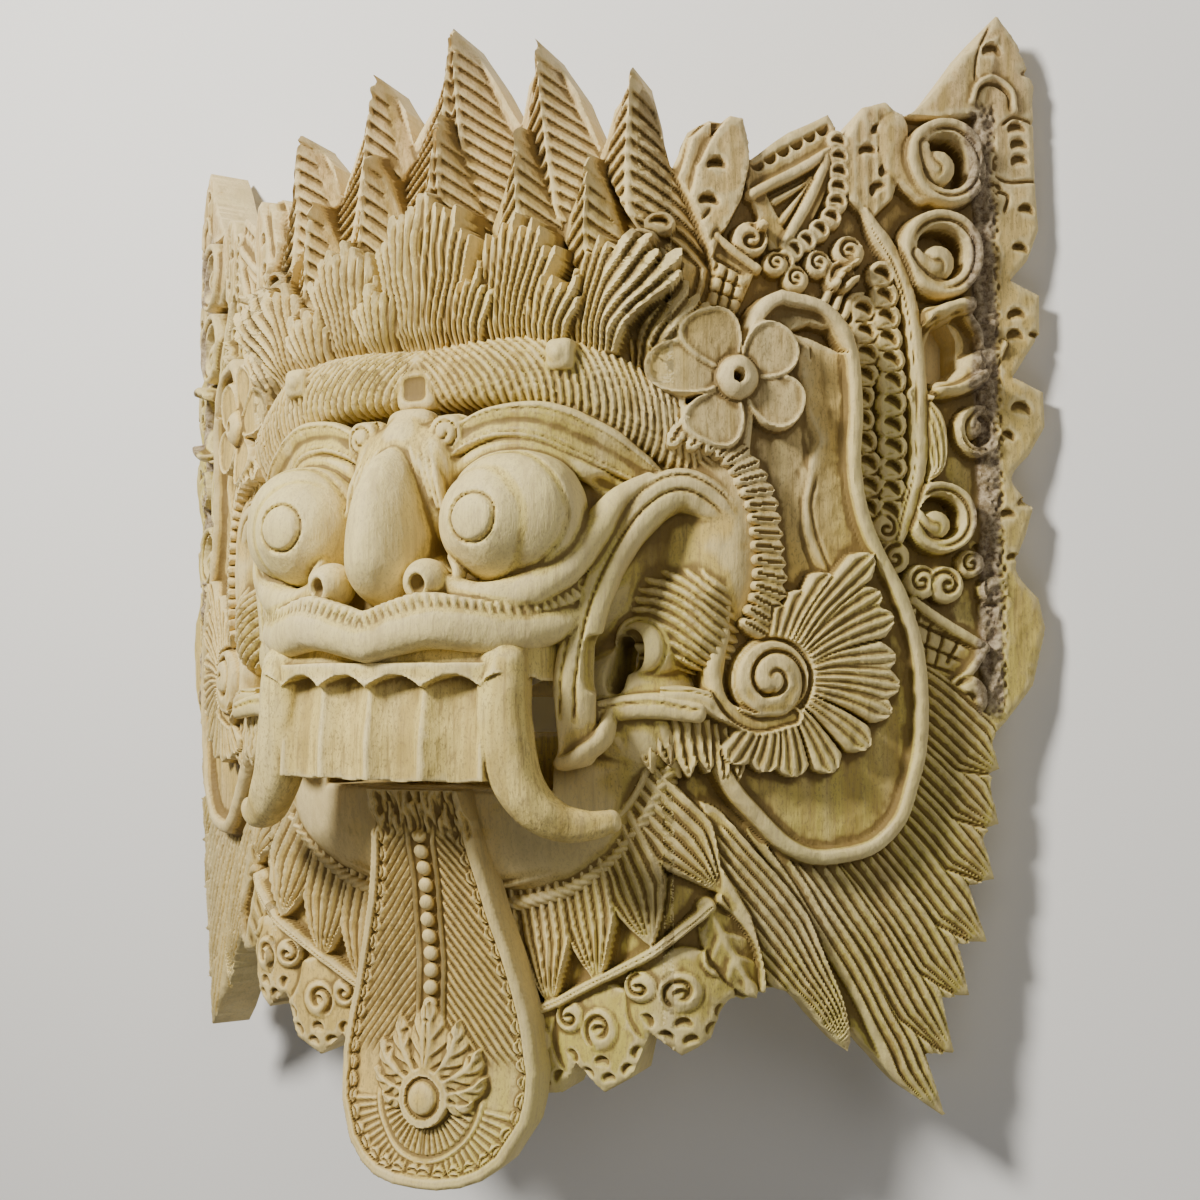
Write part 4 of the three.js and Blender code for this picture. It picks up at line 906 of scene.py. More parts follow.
class Body(Grid):
    """A solid kept as distances on an even grid: forms are merged into it and cut from it."""

    margin = 5.0

    def __init__(self, low, high, pitch):
        super().__init__(low, high, pitch)
        self.d = np.full(self.size, 30.0, np.float32)

    def merge(self, cut, d, blend=2.0):
        here = self.d[cut]
        mix = np.clip(0.5 + 0.5 * (here - d) / blend, 0, 1)
        self.d[cut] = here * (1 - mix) + d * mix - blend * mix * (1 - mix)

    def remove(self, cut, d, blend=1.5):
        here = self.d[cut]
        mix = np.clip(0.5 - 0.5 * (here + d) / blend, 0, 1)
        self.d[cut] = here * (1 - mix) - d * mix + blend * mix * (1 - mix)

    def mound(self, centre, semi, power=2.0, blend=3.0, carve=None, away=False):
        """A rounded mass. semi is (across, up, down, front or depth)."""
        c = np.array(centre, float)
        a, up, down, deep = semi
        cut, x, y, z = self.window(c - [a, down, deep], c + [a, up, deep])
        p, q, w = x - c[0], y - c[1], z - c[2]
        b = np.where(q > 0, up, down)
        s = (np.abs(p / a) ** power + np.abs(q / b) ** power + np.abs(w / deep) ** power) ** (1 / power)
        d = np.sqrt(p * p + q * q + w * w) * (1 - 1 / np.maximum(s, 0.05))
        if carve is not None:
            d = d - carve(p / a, q / b, w / deep)
        (self.remove if away else self.merge)(cut, d, blend)

    def tube(self, points, across, deep, facing=(0, 0, 1), power=2.0, blend=1.5, carve=None, count=28):
        """A roll along a line, of half sizes across and deep at even steps, with detail carve(t, v, w, mm)."""
        line = curve(points, count)
        steps = np.linspace(0, 1, count)
        wide = np.interp(steps, np.linspace(0, 1, len(across)), across)
        thick = np.interp(steps, np.linspace(0, 1, len(deep)), deep)
        reach = max(wide.max(), thick.max())
        cut, x, y, z = self.window(line.min(0) - reach, line.max(0) + reach)
        shape = np.broadcast(x, y, z).shape
        best = np.full(shape, 1e9)
        t_best, a_best, b_best, off_best = (np.zeros(shape) for _ in range(4))
        total = np.linalg.norm(np.diff(line, axis=0), axis=1).sum()
        for k in range(count - 1):
            run = line[k + 1] - line[k]
            length2 = run @ run
            from_x, from_y, from_z = x - line[k][0], y - line[k][1], z - line[k][2]
            t = np.clip((from_x * run[0] + from_y * run[1] + from_z * run[2]) / length2, 0, 1)
            o = [from_x - t * run[0], from_y - t * run[1], from_z - t * run[2]]
            away2 = o[0] ** 2 + o[1] ** 2 + o[2] ** 2
            nearer = away2 < best
            along_run = run / math.sqrt(length2)
            over = np.cross(np.array(facing, float), along_run)
            over /= max(np.linalg.norm(over), 1e-6)
            out = np.cross(along_run, over)
            best = np.where(nearer, away2, best)
            t_best = np.where(nearer, (k + t) / (count - 1), t_best)
            a_best = np.where(nearer, o[0] * over[0] + o[1] * over[1] + o[2] * over[2], a_best)
            b_best = np.where(nearer, o[0] * out[0] + o[1] * out[1] + o[2] * out[2], b_best)
        w = np.interp(t_best, steps, wide)
        h = np.interp(t_best, steps, thick)
        off = np.sqrt(best)
        ends = np.sqrt(np.maximum(best - a_best**2 - b_best**2, 0))
        s = np.abs(a_best / w) ** power + np.abs(b_best / h) ** power + (ends / np.minimum(w, h)) ** power
        s = s ** (1 / power)
        d = off * (1 - 1 / np.maximum(s, 0.05))
        if carve is not None:
            d = d - carve(t_best, a_best / w, b_best / h, t_best * total)
        self.merge(cut, d, blend)

    def box(self, low, high, blend=1.5, away=True):
        """A block, merged or taken away."""
        cut, x, y, z = self.window(low, high)
        middle, half = (np.array(low) + np.array(high)) / 2, (np.array(high) - np.array(low)) / 2
        q = [np.abs(v - m) - h for v, m, h in zip((x, y, z), middle, half)]
        inside = np.minimum(np.maximum(np.maximum(q[0], q[1]), q[2]), 0)
        d = np.sqrt(sum(np.maximum(v, 0) ** 2 for v in q)) + inside
        (self.remove if away else self.merge)(cut, d, blend)

    def skin(self):
        """Surface of the solid as points and quads, a net with one point in each cell it crosses."""
        d = self.d
        for axis in range(3):
            ends = [slice(None)] * 3
            ends[axis] = [0, -1]
            d[tuple(ends)] = np.maximum(d[tuple(ends)], 0.3)
        inside = d < 0
        corner = sum(inside[a:a - 1 or None, b:b - 1 or None, c:c - 1 or None].astype(np.int8)
                     for a in (0, 1) for b in (0, 1) for c in (0, 1))
        crossed = (corner > 0) & (corner < 8)
        number = -np.ones(crossed.shape, np.int32)
        cells = np.stack(np.nonzero(crossed), -1)
        number[crossed] = np.arange(len(cells))
        total = np.zeros((len(cells), 3))
        weight = np.zeros(len(cells))
        i, j, k = cells.T
        for axis in range(3):
            step = np.eye(3, dtype=int)[axis]
            others = [a for a in range(3) if a != axis]
            for p in (0, 1):
                for q in (0, 1):
                    o = np.zeros(3, int)
                    o[others[0]], o[others[1]] = p, q
                    first = d[i + o[0], j + o[1], k + o[2]]
                    second = d[i + o[0] + step[0], j + o[1] + step[1], k + o[2] + step[2]]
                    cross = (first < 0) != (second < 0)
                    t = np.where(cross, first / np.where(cross, first - second, 1), 0)
                    place = o + t[:, None] * step
                    total += np.where(cross[:, None], place, 0)
                    weight += cross
        points = (cells + total / weight[:, None]) * self.pitch + self.low
        quads = []
        for axis in range(3):
            nxt, last = (axis + 1) % 3, (axis + 2) % 3
            a = [slice(None)] * 3
            b = [slice(None)] * 3
            a[axis], b[axis] = slice(0, -1), slice(1, None)
            change = inside[tuple(a)] != inside[tuple(b)]
            places = np.stack(np.nonzero(change), -1)
            ok = np.all([(places[:, m] > 0) & (places[:, m] < self.size[m] - 1) for m in (nxt, last)], axis=0)
            places = places[ok]
            u, v = np.eye(3, dtype=int)[nxt], np.eye(3, dtype=int)[last]
            quad = np.stack([number[tuple((places - o).T)] for o in (u + v, v, 0 * u, u)], -1)
            solid = inside[tuple(places.T)]
            quads.append(np.where(solid[:, None], quad, quad[:, ::-1]))
        return largest(points, np.concatenate(quads))


def largest(points, quads):
    """The main body alone, without crumbs that a cut left loose."""
    label = np.arange(len(points))
    while True:
        spread = label.copy()
        np.minimum.at(spread, quads, label[quads].min(1)[:, None])
        spread = spread[spread]
        if np.array_equal(spread, label):
            break
        label = spread
    owner = label[quads[:, 0]]
    quads = quads[owner == np.bincount(owner).argmax()]
    used, quads = np.unique(quads, return_inverse=True)
    return points[used], quads.reshape(-1, 4)


def mirrored_body(b):
    """The same body on both sides of the middle plane, from its right half."""
    middle = int(round(-b.low[0] / b.pitch))
    full = Body.__new__(Body)
    full.pitch = b.pitch
    full.d = np.concatenate([b.d[middle + 1:][::-1], b.d[middle:]])
    full.size = full.d.shape
    full.low = np.array([-(b.size[0] - 1 - middle) * b.pitch, b.low[1], b.low[2]])
    return full


EYE_RADIUS = 22.7


def face_body():
    """Right half of the face block: brow, eye, nose, lip, cheek, arch, jaw and hollow back."""
    b = Body((-4, -142, 60), (134, 108, 188), FACE_PITCH)
    b.mound((0, 22, 70), (98, 82, 62, 62), power=3)
    b.mound((0, 24, 90), (60, 46, 46, 56), power=2.6, blend=8)
    b.box((-10, -66, 84.4), (97, 85, 98), away=False)
    # Lower jaw, and the flesh that joins it to the cheek
    b.mound((0, -78, 92), (88, 12, 52, 34), power=2.6, blend=4)
    b.mound((78, -52, 92), (26, 26, 30, 26), power=2.4, blend=8)
    b.mound((96, 12, 84), (34, 56, 44, 22), power=2.4, blend=6)
    # Under the lip, behind the teeth
    b.mound((0, -14, 130), (58, 26, 26, 28), power=3, blend=6)

    # Socket, the broad upper lid and the ball with its rimmed lid behind
    b.mound((44, 24, 148), (30, 31, 27, 22), power=2.2, blend=4, away=True)
    b.mound((13, 38, 141), (12, 24, 26, 13), power=2.2, blend=4)
    b.tube([(20, 40, 143), (34, 48, 142), (51, 50, 137), (66, 44, 129), (80, 35, 120), (92, 29, 110)],
           [3, 4, 4.5, 4, 3.5, 3], [3, 4, 5, 5, 4, 3], blend=3)
    b.mound((48.5, 22, 141), (27.5, 26.5, 25, 23), power=2.3, blend=1.0, carve=lid_line)
    b.mound((44, 20, 148), (EYE_RADIUS,) * 4, blend=0.6, carve=pupil)
    b.mound((86, 36, 128), (13, 5, 6, 10), power=2, blend=2, away=True)
    under_eye = [(30, -5, 161), (42, -9.5, 158), (55, -8, 151), (68, 2, 142), (77, 16, 133), (84, 29, 125),
                 (93, 38, 115)]
    b.tube(under_eye, [4.5, 6.5, 8, 8, 7, 5, 3], [4, 6, 7, 7, 6.5, 5, 3], power=2.2, blend=1.2)
    # Brow: a long hollow leaf that runs out of the curl beside the nose
    brow = [(20, 51, 144), (28, 56, 143), (40, 60, 140), (57, 60, 134), (73, 53, 124), (88, 43, 113),
            (100, 34, 103)]
    b.tube(brow, [5, 6.5, 8, 9, 8.5, 6, 2], [5, 6, 6.5, 7, 7, 6, 3], power=3.2, blend=0.7, carve=brow_hollow,
           count=60)
    b.mound((19.5, 57, 141), (8.6, 8.6, 8.6, 9), power=2.6, blend=0.8, carve=curl_cut)
    # Head band: laid strokes of hair that follow the brow, with a square jewel
    band = [(-6, 82, 127), (0, 82, 128), (30, 83, 129), (60, 80, 122), (86, 67, 109), (106, 48, 95)]
    b.tube(band, [12, 12, 13, 14.5, 13, 8], [10, 10, 10.5, 11, 10, 8], power=2.8, carve=strokes, count=60)
    b.mound((63, 87, 130), (6.0, 6.5, 6.5, 7), power=4, blend=0.6)
    b.mound((63, 87, 136), (3.2, 3.4, 3.4, 3.0), blend=0.8)
    # Nose, bridge folds and wings
    b.mound((0, 40, 142), (13, 26, 20, 14), power=2.4, blend=5)
    for k in range(4):
        fold = [(5.5 + 3.4 * k, 55 - 1.5 * k, 150), (10 + 3.4 * k, 46 - 3.2 * k, 152.5),
                (14 + 3.0 * k, 35 - 4 * k, 152)]
        b.tube(fold, [1.2, 1.7, 1.0], [2.4, 3.4, 2.4], blend=0.5)
    b.mound((0, 6, 150), (16.5, 46, 20, 29), blend=1.0)
    b.mound((0, 62, 139), (11, 7, 6, 8), power=3, blend=2.5)
    # Small gabled plaque between the curls
    b.mound((0, 77, 134), (9.5, 9, 8, 6), power=5, blend=0.6)
    b.mound((0, 87, 133), (5.5, 6.5, 4, 6), power=2.4, blend=0.6)
    b.mound((0, 77.5, 141), (6, 5.5, 5, 2.6), power=4, blend=0.5, away=True)
    b.mound((22, -3.5, 163), (8.6, 9, 9, 11), blend=1.0)
    b.mound((23, -5, 175), (3.4, 4.4, 4.0, 7), blend=0.8, away=True)
    b.tube([(30, 6, 158), (33.5, 0, 159), (32.5, -8, 160)], [1.6, 2.2, 1.6], [3, 4, 2], blend=0.8)
    # Upper lip with its hemmed border
    lip = [(-6, -25, 170), (0, -25.5, 170), (26, -19.5, 167), (50, -22, 153), (66, -18, 138), (74, -11, 128)]
    b.tube(lip, [8.5, 9, 9.5, 9.5, 8, 5], [8, 8.5, 9, 9, 8, 5], power=2.3, blend=2)
    edge = [(-6, -17.5, 174), (0, -18, 174), (26, -11.5, 171.5), (50, -14.5, 158), (67, -10, 142),
            (75, -4, 131)]
    b.tube(edge, [4.0] * 6, [3.0] * 6, power=3, blend=0.4, carve=hem, count=40)
    # Arch that hooks over beside the mouth: a flat strap at the foot, a thick roll at the top
    arch = [(67, -68, 128), (70, -38, 133), (76, -6, 129), (86, 20, 118), (100, 34, 106), (114, 27, 96),
            (121, 6, 88), (119, -8, 84)]
    b.tube(arch, [8.5, 8.5, 8, 8, 9, 9, 7, 3], [6, 6.5, 7, 8, 9, 9, 7, 4], facing=(0.45, 0, 1), power=3.2,
           blend=0.8, carve=strap_lines, count=72)
    b.tube([(64, -72, 130), (70, -70, 130), (78, -63, 126), (80, -54, 122)], [3.6, 4, 4, 2.5], [7, 7, 6, 4],
           blend=0.8)
    b.mound((88, -28, 96), (14.5, 15, 15, 21), power=2.4, blend=0.8, carve=ring_cut)
    b.mound((83, -29, 118), (8.5, 9, 9, 15), power=2.3, blend=1.0, away=True)
    b.mound((99, -14, 84), (21, 19, 23, 25), power=3.4, blend=0.8, carve=leaf_ridges)
    # Mouth, the gaps beside it and the hollow behind
    b.box((-10, -84, 60), (54, -47, 147), blend=3)
    b.mound((57, -57, 128), (6.5, 14, 14, 40), power=4, blend=1.5, away=True)
    b.mound((79, -36, 112), (4.5, 13, 10, 44), power=3, blend=1.5, away=True)
    # Strap from the foot of the arch to the curl beside it, and the leaf tips under it
    for k in range(4):
        tip = (85 + 5 * k, -75 - k, 104 - k)
        b.tube([(77 + 6 * k, -55, 117 - 2 * k), (81 + 5.5 * k, -65, 113 - 2 * k), tip],
               [3.4, 3.6, 1.0], [3.6, 3.6, 1.5], blend=0.5)
    b.tube([(66, -55, 124), (80, -52, 119), (95, -50.5, 113.5), (110, -53, 109)],
           [4, 5, 5.2, 4], [5, 5, 5.4, 4], power=3, blend=0.7, carve=one_line)
    b.mound((0, 12, 80), (66, 64, 62, 42), power=2.4, blend=3, away=True)
    # Twisted border between jaw and beard
    border = [(102, -62, 98), (96, -76, 100), (84, -99, 102), (60, -121, 103), (30, -131, 104),
              (0, -133, 104), (-6, -133, 104)]
    b.tube(border, [3.4] * 7, [6.5] * 7, blend=0.6, carve=rope)
    line = [(97, -60, 104), (91, -72, 106), (78, -94, 109), (56, -113, 111), (28, -123, 112),
            (0, -125, 112), (-6, -125, 112)]
    b.tube(line, [1.3] * 7, [2.6] * 7, blend=0.6)
    # Nothing of the face reaches behind the back of the plate
    cut, x, y, z = b.window(b.low, b.low + 400)
    back = np.interp(x, [0, FLAT_HALF, 94.3, 134], [PLATE_TOP - WALL, PLATE_TOP - WALL, 79.3, 49.9]) + 0.4
    b.d[cut] = np.maximum(b.d[cut], back - z + 0 * y)
    return b


def pupil(p, q, w):
    """One ring cut round a flat pupil that faces forward."""
    r = EYE_RADIUS * np.hypot(p, q)
    return (w > 0) * (0.4 * smooth(10 - r, -0.4, 0.4) - 2.4 * np.clip(1 - np.abs(r - 9.3) / 1.1, 0, 1))


def lid_line(p, q, w):
    """A line cut round the lid, near its rim."""
    return -1.0 * np.clip(1 - np.abs(np.hypot(p, q) - 0.93) / 0.045, 0, 1) * (w > -0.1)


def curl_cut(p, q, w):
    """A winding cut, ending in a deep eye."""
    r, turn = np.hypot(p, q), np.arctan2(q, p) / (2 * math.pi)
    wind = (r / 0.42 + turn) % 1.0
    groove = -2.0 * np.clip(1 - np.abs(wind - 0.5) / 0.22, 0, 1) * smooth(r, 0.12, 0.3)
    return (w > 0) * (groove + 0.6 * (r < 0.25))


def ring_cut(p, q, w):
    """One line cut round a boss."""
    r = np.hypot(p, q)
    return -1.2 * np.clip(1 - np.abs(r - 0.72) / 0.07, 0, 1) * (w > 0)


def leaf_ridges(p, q, w):
    """Bands across a leaf, curving down to its point."""
    return 2.6 * saw(4.6 * (q + 0.45 * p + 0.35 * p * p) + 10) * (w > -0.2)


def brow_hollow(t, v, w, mm):
    """Sunk along the middle, with a crisp edge above."""
    hollow = -2.6 * np.clip(1 - (v / 0.72) ** 2, 0, 1)
    return (w > 0) * (hollow - 0.9 * np.clip(1 - np.abs(np.abs(v) - 0.62) / 0.10, 0, 1))


def strap_lines(t, v, w, mm):
    """A line along one edge, and a long loop cut near the other."""
    line = np.clip(1 - np.abs(v + 0.05) / 0.11, 0, 1) + np.clip(1 - np.abs(v - 0.62) / 0.11, 0, 1)
    return -1.7 * line * (w > 0) * smooth(t, 0.07, 0.10)


def one_line(t, v, w, mm):
    """A line cut along a strap."""
    return -1.3 * np.clip(1 - np.abs(v - 0.3) / 0.16, 0, 1) * (w > 0)


def strokes(t, v, w, mm):
    """Long knife cuts across the band, leaning along it."""
    return 1.9 * saw((mm + 9.0 * v + 4.0 * v * v) / 3.7) * (w > -0.3)


def hem(t, v, w, mm):
    """Short upright cuts in a row."""
    return 1.5 * wave((mm + 1.0 * v) / 3.3) * (np.abs(v) < 0.82) - 0.6


def rope(t, v, w, mm):
    """Twisted cord: slanting ridges."""
    return 1.2 * wave((mm + 4.0 * v) / 4.2) - 0.5


# Width of one incisor
TOOTH = 23


def teeth_body():
    """Right half of the gum and the four hollow-fronted incisors, with the tusk."""
    b = Body((-4, -116, 112), (98, -6, 182), 0.8 * FACE_PITCH)
    cut, x, y, z = b.window(b.low, b.low + 200)
    arc = 171.5 - 0.0038 * x * x
    part = x / TOOTH - np.floor(x / TOOTH)
    bow = np.sin(math.pi * part) ** 0.8
    over_tusk = -47 + 9.0 * np.sqrt(np.clip(1 - ((x - 55) / 10.5) ** 2, 0, 1))
    gum_foot = np.where(x > 46, over_tusk, -43.5 + 5.0 * bow) + 0 * x
    below = gum_foot - y
    hollow = 5.8 * np.clip(1 - ((part - 0.5) / 0.47) ** 2, 0, 1)
    front = arc - (hollow + 2.6 * (1 - smooth(below, 0, 24))) * smooth(below, -0.6, 0.8)
    foot = -79 + 1.0 * np.abs(np.cos(math.pi * x / TOOTH)) + 0.02 * (z - 170)
    d = reduce(np.maximum, (z - front, 146 - z, np.abs(x) - 46.5, y + 34, foot - y))
    b.merge(cut, d, 0.5)
    # Gum with a scallop over each tooth, and a larger one over the tusk
    beside = 167.0 - 0.13 * (x - 51) ** 2
    over_teeth = np.maximum(173.0 - 0.0042 * x * x, beside)
    gum_front = np.where(x < 50, over_teeth, beside) - 0.45 * np.maximum(y + 42, 0)
    d = reduce(np.maximum, (z - gum_front, 132 - z, np.abs(x) - 63, y + 20, gum_foot - y))
    b.merge(cut, d, 0.5)
    tusk = [(50.5, -36, 153), (50.5, -44, 154), (51, -58, 154.5), (54.5, -76, 153), (60.5, -87, 150),
            (68, -93.5, 144.5), (77, -95.5, 138), (84, -94, 133)]
    b.tube(tusk, [9.4, 9.6, 9.8, 9.4, 8.6, 7.6, 6.2, 4.4], [10, 10, 10, 9.6, 9, 8, 6.4, 4.4], power=2.6,
           blend=0.4, count=44)
    return b


TONGUE_EDGE = [
    (21, -84), (22, -92), (25, -108), (30, -130), (37, -155), (43, -178), (46, -195), (45.5, -206),
    (44, -214), (36, -228), (28, -234.5), (20, -238), (10, -239.7), (0, -240),
]


TONGUE_ROOT = -84.5
TONGUE_WALL = 10
LOTUS_Y = -207


def on_tongue(x, y, h):
    """Places on the tongue, lowest at its middle, bowed across."""
    return np.stack([x + 0 * y, y + 0 * x, 122 + 0.0022 * (y + 170) ** 2 + h - 0.0035 * x * x], -1)


def tongue_relief():
    """Right half of the tongue: raised rim, scallops, herringbone, beads and a lotus."""
    r = Relief((-2, -243), (50, -82), TONGUE_PITCH)
    U, Y = r.grid()
    left = [(-x, y) for x, y in TONGUE_EDGE[:-1]][::-1]
    edge = TONGUE_EDGE + left
    depth = polygon_depth(U, Y, edge)
    _, _, walked, _ = along(U, Y, curve(TONGUE_EDGE, 60))
    r.h = 0.25 * lattice_noise(U / 6, Y / 6, 0 * U, 5)
    # Herringbone either side of the middle
    lines = saw((Y + 1.25 * U) / 4.6 + 0.12 * np.sin(Y / 9))
    r.h += 1.7 * lines * smooth(U, 6.5, 8) * smooth(Y, -196, -186) * smooth(depth, 5, 6.5)
    # Fine rays below the lotus
    around = np.degrees(np.arctan2(Y - LOTUS_Y, U))
    out = np.hypot(U, Y - LOTUS_Y)
    r.h += 1.5 * wave(around / 8.0) * smooth(-Y, 208, 212) * smooth(out, 12, 13) * (1 - smooth(out, 21, 22))
    r.h += 1.3 * np.clip(1 - np.abs(out - 24) / 1.5, 0, 1) * smooth(-Y, 205, 210)
    r.h += 1.3 * wave(around / 5.5) * smooth(-Y, 208, 212) * smooth(out, 25, 26) * smooth(depth, 5, 6)
    # Row of scallops inside the rim
    notch = np.abs(np.sin(math.pi * walked / 7.6))
    r.lay((slice(None), slice(None)), 5.0 + 3.4 * notch - depth, 2.3 + 0 * U, 0.9)
    r.h -= 1.5 * np.clip(1 - np.abs(depth - (4.6 + 1.8 * notch)) / 0.8, 0, 1) * (depth < 7)
    r.h = np.where(depth < 4.2, 3.4 - 1.6 * np.clip(1 - depth / 2.0, 0, 1) ** 2, r.h)
    r.h -= 1.2 * np.clip(1 - np.abs(depth - 4.3) / 0.6, 0, 1)
    # Bead column between two ridges
    r.rib([(5.8, -96), (5.8, -140), (5.8, -178)], 2.2, 2.8, fall=1.0, base=0.0)
    for k in range(11):
        r.disc((0, -102 - 6.9 * k), 3.3, lambda d: 1.0 + 2.6 * dome(d / 3.4), edge=0.8)
    # Lotus: flame leaves round a domed boss
    for turn, reach, wide in [(0, 21, 11), (20, 27, 12), (42, 31, 13), (66, 34, 13), (90, 38, 15)]:
        a = math.radians(turn)
        foot = (9 * math.cos(a), LOTUS_Y + 9 * math.sin(a))
        tip = (reach * math.cos(a), LOTUS_Y + reach * math.sin(a))
        mid = (0.6 * tip[0] + 0.4 * foot[0] + 1.5, 0.5 * (foot[1] + tip[1]) - 1)
        leaf(r, [foot, mid, tip], wide, 2.4, 5.0, cuts=5)
        r.gouge((0.3 * foot[0] + 0.7 * tip[0], 0.3 * foot[1] + 0.7 * tip[1]), 1.8, turn, 1.6)
    r.disc((0, LOTUS_Y), 11.5, lambda d: 3.2 + 1.6 * (d > 8.2), edge=1.0)
    r.disc((0, LOTUS_Y), 6.6, lambda d: 3 + 4.0 * dome(d / 6.8), edge=1.0)
    # Rough cuts at the root
    rough = smooth(Y, -106, -98)
    torn = lattice_noise(U / 2.2, Y / 7, 0 * U, 11) + 0.6 * lattice_noise(U / 1.3, Y / 3, 0 * U, 12)
    r.h = r.h * (1 - rough) + rough * (1.2 + 2.2 * torn)
    return r, depth


def carve_all(material):
    """Every visible piece, all in one material."""
    made = plate_pieces(material)
    r, depth = tongue_relief()
    keep = (between(depth) > 0) & (r.grid()[1][:-1, :-1] < TONGUE_ROOT)
    both, cells = mirrored_grid(r, depth, keep)
    made.append(slab("tongue", *both, cells, material, on_tongue, lambda x: -TONGUE_WALL, (6.0, 6.0)))
    for name, body, most in (("face", face_body(), FACE_MOST), ("teeth", teeth_body(), TEETH_MOST)):
        points, quads = mirrored_body(body).skin()
        for step, reach in ((21, 0.35), (6, 0.16)):
            shift = [lattice_noise(*(points / step).T, seed) for seed in (21, 22, 23)]
            points = points + reach * np.stack(shift, -1)
        made.append(piece(thinned(mesh_object(name, points, quads, material), most)))
    return made


class Value:
    """A socket of a shader that can be used in sums."""

    def __init__(self, maker, socket):
        self.maker, self.socket = maker, socket

    def _with(self, operation, other, swap=False):
        pair = (other, self) if swap else (self, other)
        return self.maker.node("ShaderNodeMath", {"operation": operation}, {0: pair[0], 1: pair[1]})

    def __add__(self, other):
        return self._with("ADD", other)

    def __radd__(self, other):
        return self._with("ADD", other, True)

    def __sub__(self, other):
        return self._with("SUBTRACT", other)

    def __rsub__(self, other):
        return self._with("SUBTRACT", other, True)

    def __mul__(self, other):
        return self._with("MULTIPLY", other)

    def __rmul__(self, other):
        return self._with("MULTIPLY", other, True)


class Maker:
    """Adds nodes to one material."""

    def __init__(self, tree):
        self.tree = tree

    def node(self, kind, settings=None, sockets=None, out=0):
        made = self.tree.nodes.new(kind)
        for name, value in (settings or {}).items():
            setattr(made, name, value)
        for key, value in (sockets or {}).items():
            if isinstance(value, Value):
                self.tree.links.new(value.socket, made.inputs[key])
            else:
                made.inputs[key].default_value = value
        return Value(self, made.outputs[out]) if made.outputs else None

    def within(self, value, low, high):
        """0 below low and 1 above high, or the other way round, with a soft step between."""
        settings = {"interpolation_type": "SMOOTHSTEP"}
        return self.node("ShaderNodeMapRange", settings, {0: value, 1: low, 2: high})

    def tint(self, factor, a, b):
        return self.node("ShaderNodeMix", {"data_type": "RGBA"}, {0: factor, 6: a, 7: b}, out=2)

    def noise(self, place, stretch, scale, detail=4.0, rough=0.55, shift=(0, 0, 0)):
        moved = self.node("ShaderNodeMapping", {}, {0: place, 1: shift, 3: stretch})
        return self.node("ShaderNodeTexNoise", {}, {"Vector": moved, "Scale": scale, "Detail": detail,
                                                    "Roughness": rough})


